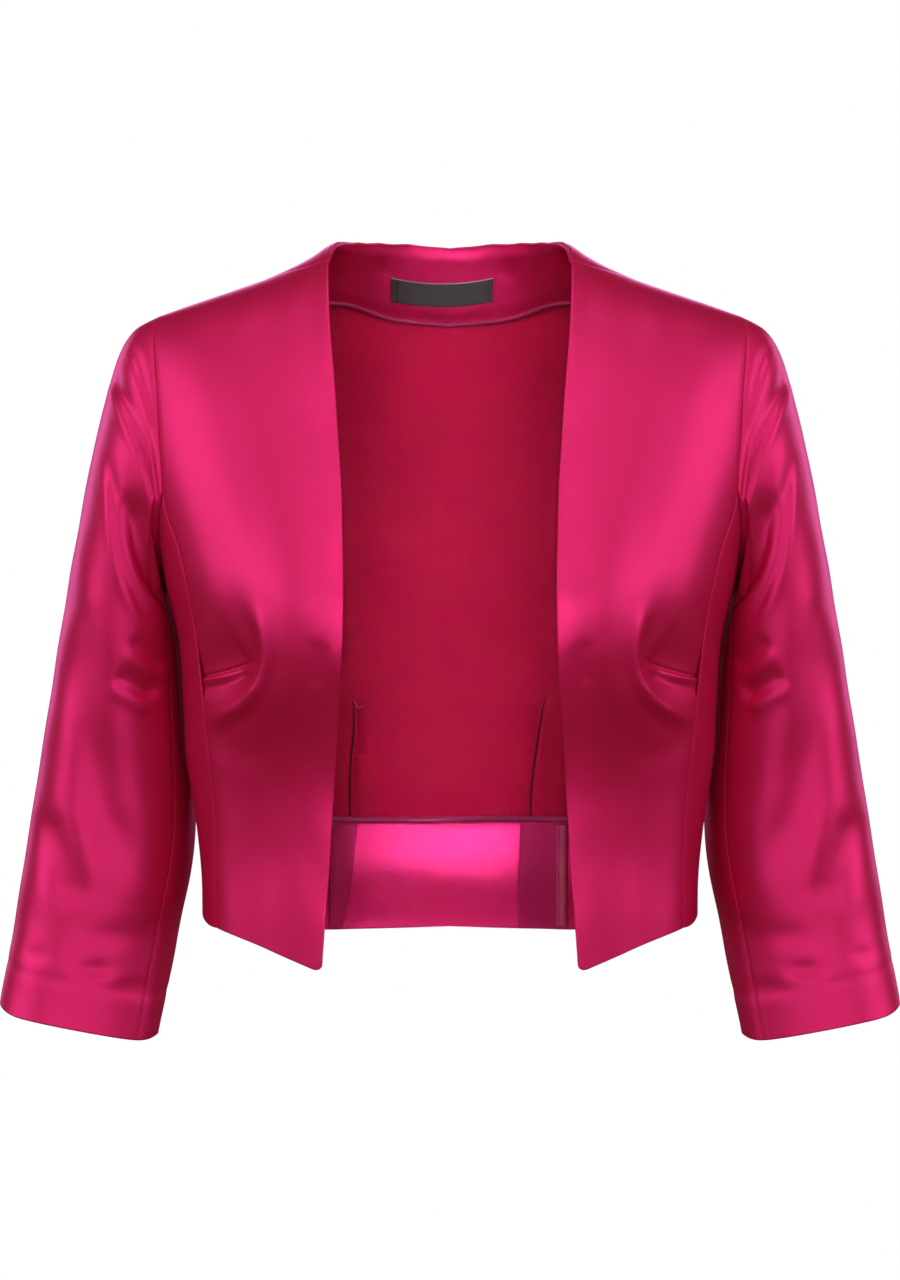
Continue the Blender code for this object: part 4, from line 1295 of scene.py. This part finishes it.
def make_hem_trims(reverse, stitches):
    """The pressed seam allowances on the turned-up hem, and the overlock of the right one."""
    strip(
        "seam_allowance_left",
        ((-423.5, -82), (-353, -82)), ((-423.5, -72.5), (-390, -67), (-353, -62.6)),
        (-423.5, -353.2), LEFT_ALLOWANCE, (12, 30), reverse,
    )
    strip(
        "seam_allowance_right", ((-423, 45.8), (-353, 47.6)), ((-423, 80), (-353, 80)),
        (-423.0, -353.2), RIGHT_ALLOWANCE, (24, 30), reverse,
    )
    number = np.arange(OVERLOCK_STITCHES)
    fine = np.linspace(0, number[-1], 4 * len(number))
    z = np.interp(fine, number, np.linspace(*OVERLOCK_HEIGHTS, len(number)))
    for name, even, odd, radius in OVERLOCK:
        x = np.interp(fine, number, np.where(number % 2, odd, even))
        # Shares of the allowance's height and width
        up, over = (z + 423) / 70, (x - 46.5) / 33.5
        depth = strip_depth(up, over, RIGHT_ALLOWANCE) + SKIN + THREAD_LIFT
        thread(f"overlock_{name}_right", inside_back(x, z, depth), radius, 6, stitches)


# The loose thread: number along it, place across, height, how far it stands off the tuck
LOOSE_THREAD = (
    (0, -68.6, -267.6, 0.2),
    (1, -67.5, -269.0, 0.6),
    (2, -65.6, -271.4, 0.9),
    (3, -63.9, -273.4, 0.9),
    (4, -62.6, -276.3, 1.0),
    (5, -60.6, -276.0, 1.0),
    (6, -59.2, -275.2, 1.4),
)


def make_tuck_thread(stitches):
    """The loose end of thread at the top of the left tuck."""
    at = np.linspace(0, LOOSE_THREAD[-1][0], 42)
    x, z, off = (smooth(LOOSE_THREAD, column, at) for column in (1, 2, 3))
    path = inside_back(x, z, SHELL + GAP + SKIN + TUCK_HEIGHT + off)
    thread("tuck_thread", path, 0.28, 6, stitches)


def make_label(woven, stitches, highlight_cord_finish):
    """The woven label, sewn on at its ends and sagging between them."""
    points = strip(
        "label", ((-1.6, -41.0), (14.9, -41.3)), ((-1.6, 29.6), (14.2, 30.0)),
        (-0.9, 14.6), LABEL_LIFT, (40, 14), woven, LABEL_THICKNESS,
    )
    front = points - np.array([0, LABEL_THICKNESS + 0.15, 0])
    # A light grey cord along the top edge: painted highlight for the glint on the label's edge
    thread("label_edge_highlight_cord", front[-2, 2:-2], 0.3, 6, highlight_cord_finish)
    for side, column in (("left", 6), ("right", -7)):
        rows = np.arange(3, len(front) - 3)
        swing = np.where(rows[:, None] % 2, front[rows, column], front[rows, column + 1])
        thread(f"label_stitches_{side}", swing, 0.22, 6, stitches)


def add_lamp(name, place, target, width, height, power, spread):
    """An area lamp that faces its target."""
    light = bpy.data.lights.new(name, "AREA")
    light.shape = "RECTANGLE"
    light.size, light.size_y = width, height
    light.energy = power
    light.spread = math.radians(spread)
    lamp = bpy.data.objects.new(name, light)
    bpy.context.scene.collection.objects.link(lamp)
    lamp.location = place
    x, y, z = np.array(target) - np.array(place)
    lamp.rotation_euler = (math.pi / 2 + math.atan2(z, math.hypot(x, y)), 0, math.atan2(-x, y))


def studio():
    """Pale floor far under the hanging jacket, pale backdrop and soft lights."""
    deselect()
    bpy.ops.mesh.primitive_plane_add(size=FLOOR_SIZE, location=(0, 0, 0))
    floor = bpy.context.object
    floor.name = "studio_floor"
    for corner in floor.data.vertices:
        corner.co.z = FLOOR_HEIGHT
    glow = {"emission_color": (1, 1, 1, 1), "emission_strength": 0.85}
    pale = Finish("studio_pale", (0.5, 0.5, 0.5), 0.9, **glow)
    floor.data.materials.append(pale.material)
    floor.visible_glossy = False
    floor.visible_diffuse = False
    world = bpy.data.worlds.new("studio")
    world.use_nodes = True
    tree = world.node_tree
    backdrop = tree.nodes["Background"]
    backdrop.inputs["Color"].default_value = (1, 1, 1, 1)
    backdrop.inputs["Strength"].default_value = 1.0
    room = tree.nodes.new("ShaderNodeBackground")
    room.inputs["Color"].default_value = ROOM_COLOUR
    room.inputs["Strength"].default_value = ROOM_LIGHT
    path = tree.nodes.new("ShaderNodeLightPath")
    mix = tree.nodes.new("ShaderNodeMixShader")
    tree.links.new(path.outputs["Is Camera Ray"], mix.inputs[0])
    tree.links.new(room.outputs[0], mix.inputs[1])
    tree.links.new(backdrop.outputs[0], mix.inputs[2])
    tree.links.new(mix.outputs[0], tree.nodes["World Output"].inputs["Surface"])
    bpy.context.scene.world = world
    for name, place, *settings in LAMPS:
        if place[0]:
            add_lamp(f"{name}_left", (-place[0], *place[1:]), *settings)
            add_lamp(f"{name}_right", place, *settings)
        else:
            add_lamp(name, place, *settings)


def make_camera():
    """The camera, level and straight in front, as in the photo."""
    camera = bpy.data.cameras.new("camera")
    camera.sensor_width = 36.0
    camera.lens = CAMERA_LENS
    eye = bpy.data.objects.new("camera", camera)
    bpy.context.scene.collection.objects.link(eye)
    eye.location = CAMERA_PLACE
    eye.rotation_euler = (math.pi / 2, 0, 0)
    bpy.context.scene.camera = eye


make_camera()
studio()
bpy.context.scene.view_settings.view_transform = "Standard"
satin = satin_finish()
lining = lining_finish()
piping = piping_finish()
make_fronts((satin, lining))
make_sides((satin, lining))
make_back((satin, lining))
make_sleeves((satin, lining))
make_armhole_allowances(lining)
neck_rows = back_rows(*NECK_FACING_LINES, FACING_ROW, BACK_TOP_ROW)
inner_layer("neck_facing", neck_rows, back_shares(BACK_COLUMNS), facing_puff, "foot", satin)
hem_rows = back_rows(*HEM_FACING_LINES, 0, HEM_ROWS)
inner_layer("hem_facing", hem_rows, back_shares(HEM_FACING_COLUMNS), hem_puff, "top", satin)
make_lining((lining, lining))
# Dark cords beside the tucks' folds: painted shade for the shadows that the folds cast
make_painted_tuck_shades(thread_finish("painted_shade_cord", TUCK_SHADE_COLOUR))
make_pipings(piping)
make_hem_trims(reverse_finish(), thread_finish("pale_thread", THREAD))
make_tuck_thread(thread_finish("pink_thread", THREAD))
label_finishes = (
    label_finish(), thread_finish("label_thread", WOVEN), thread_finish("label_edge_painted_highlight", LABEL_EDGE_HIGHLIGHT)
)
make_label(*label_finishes)
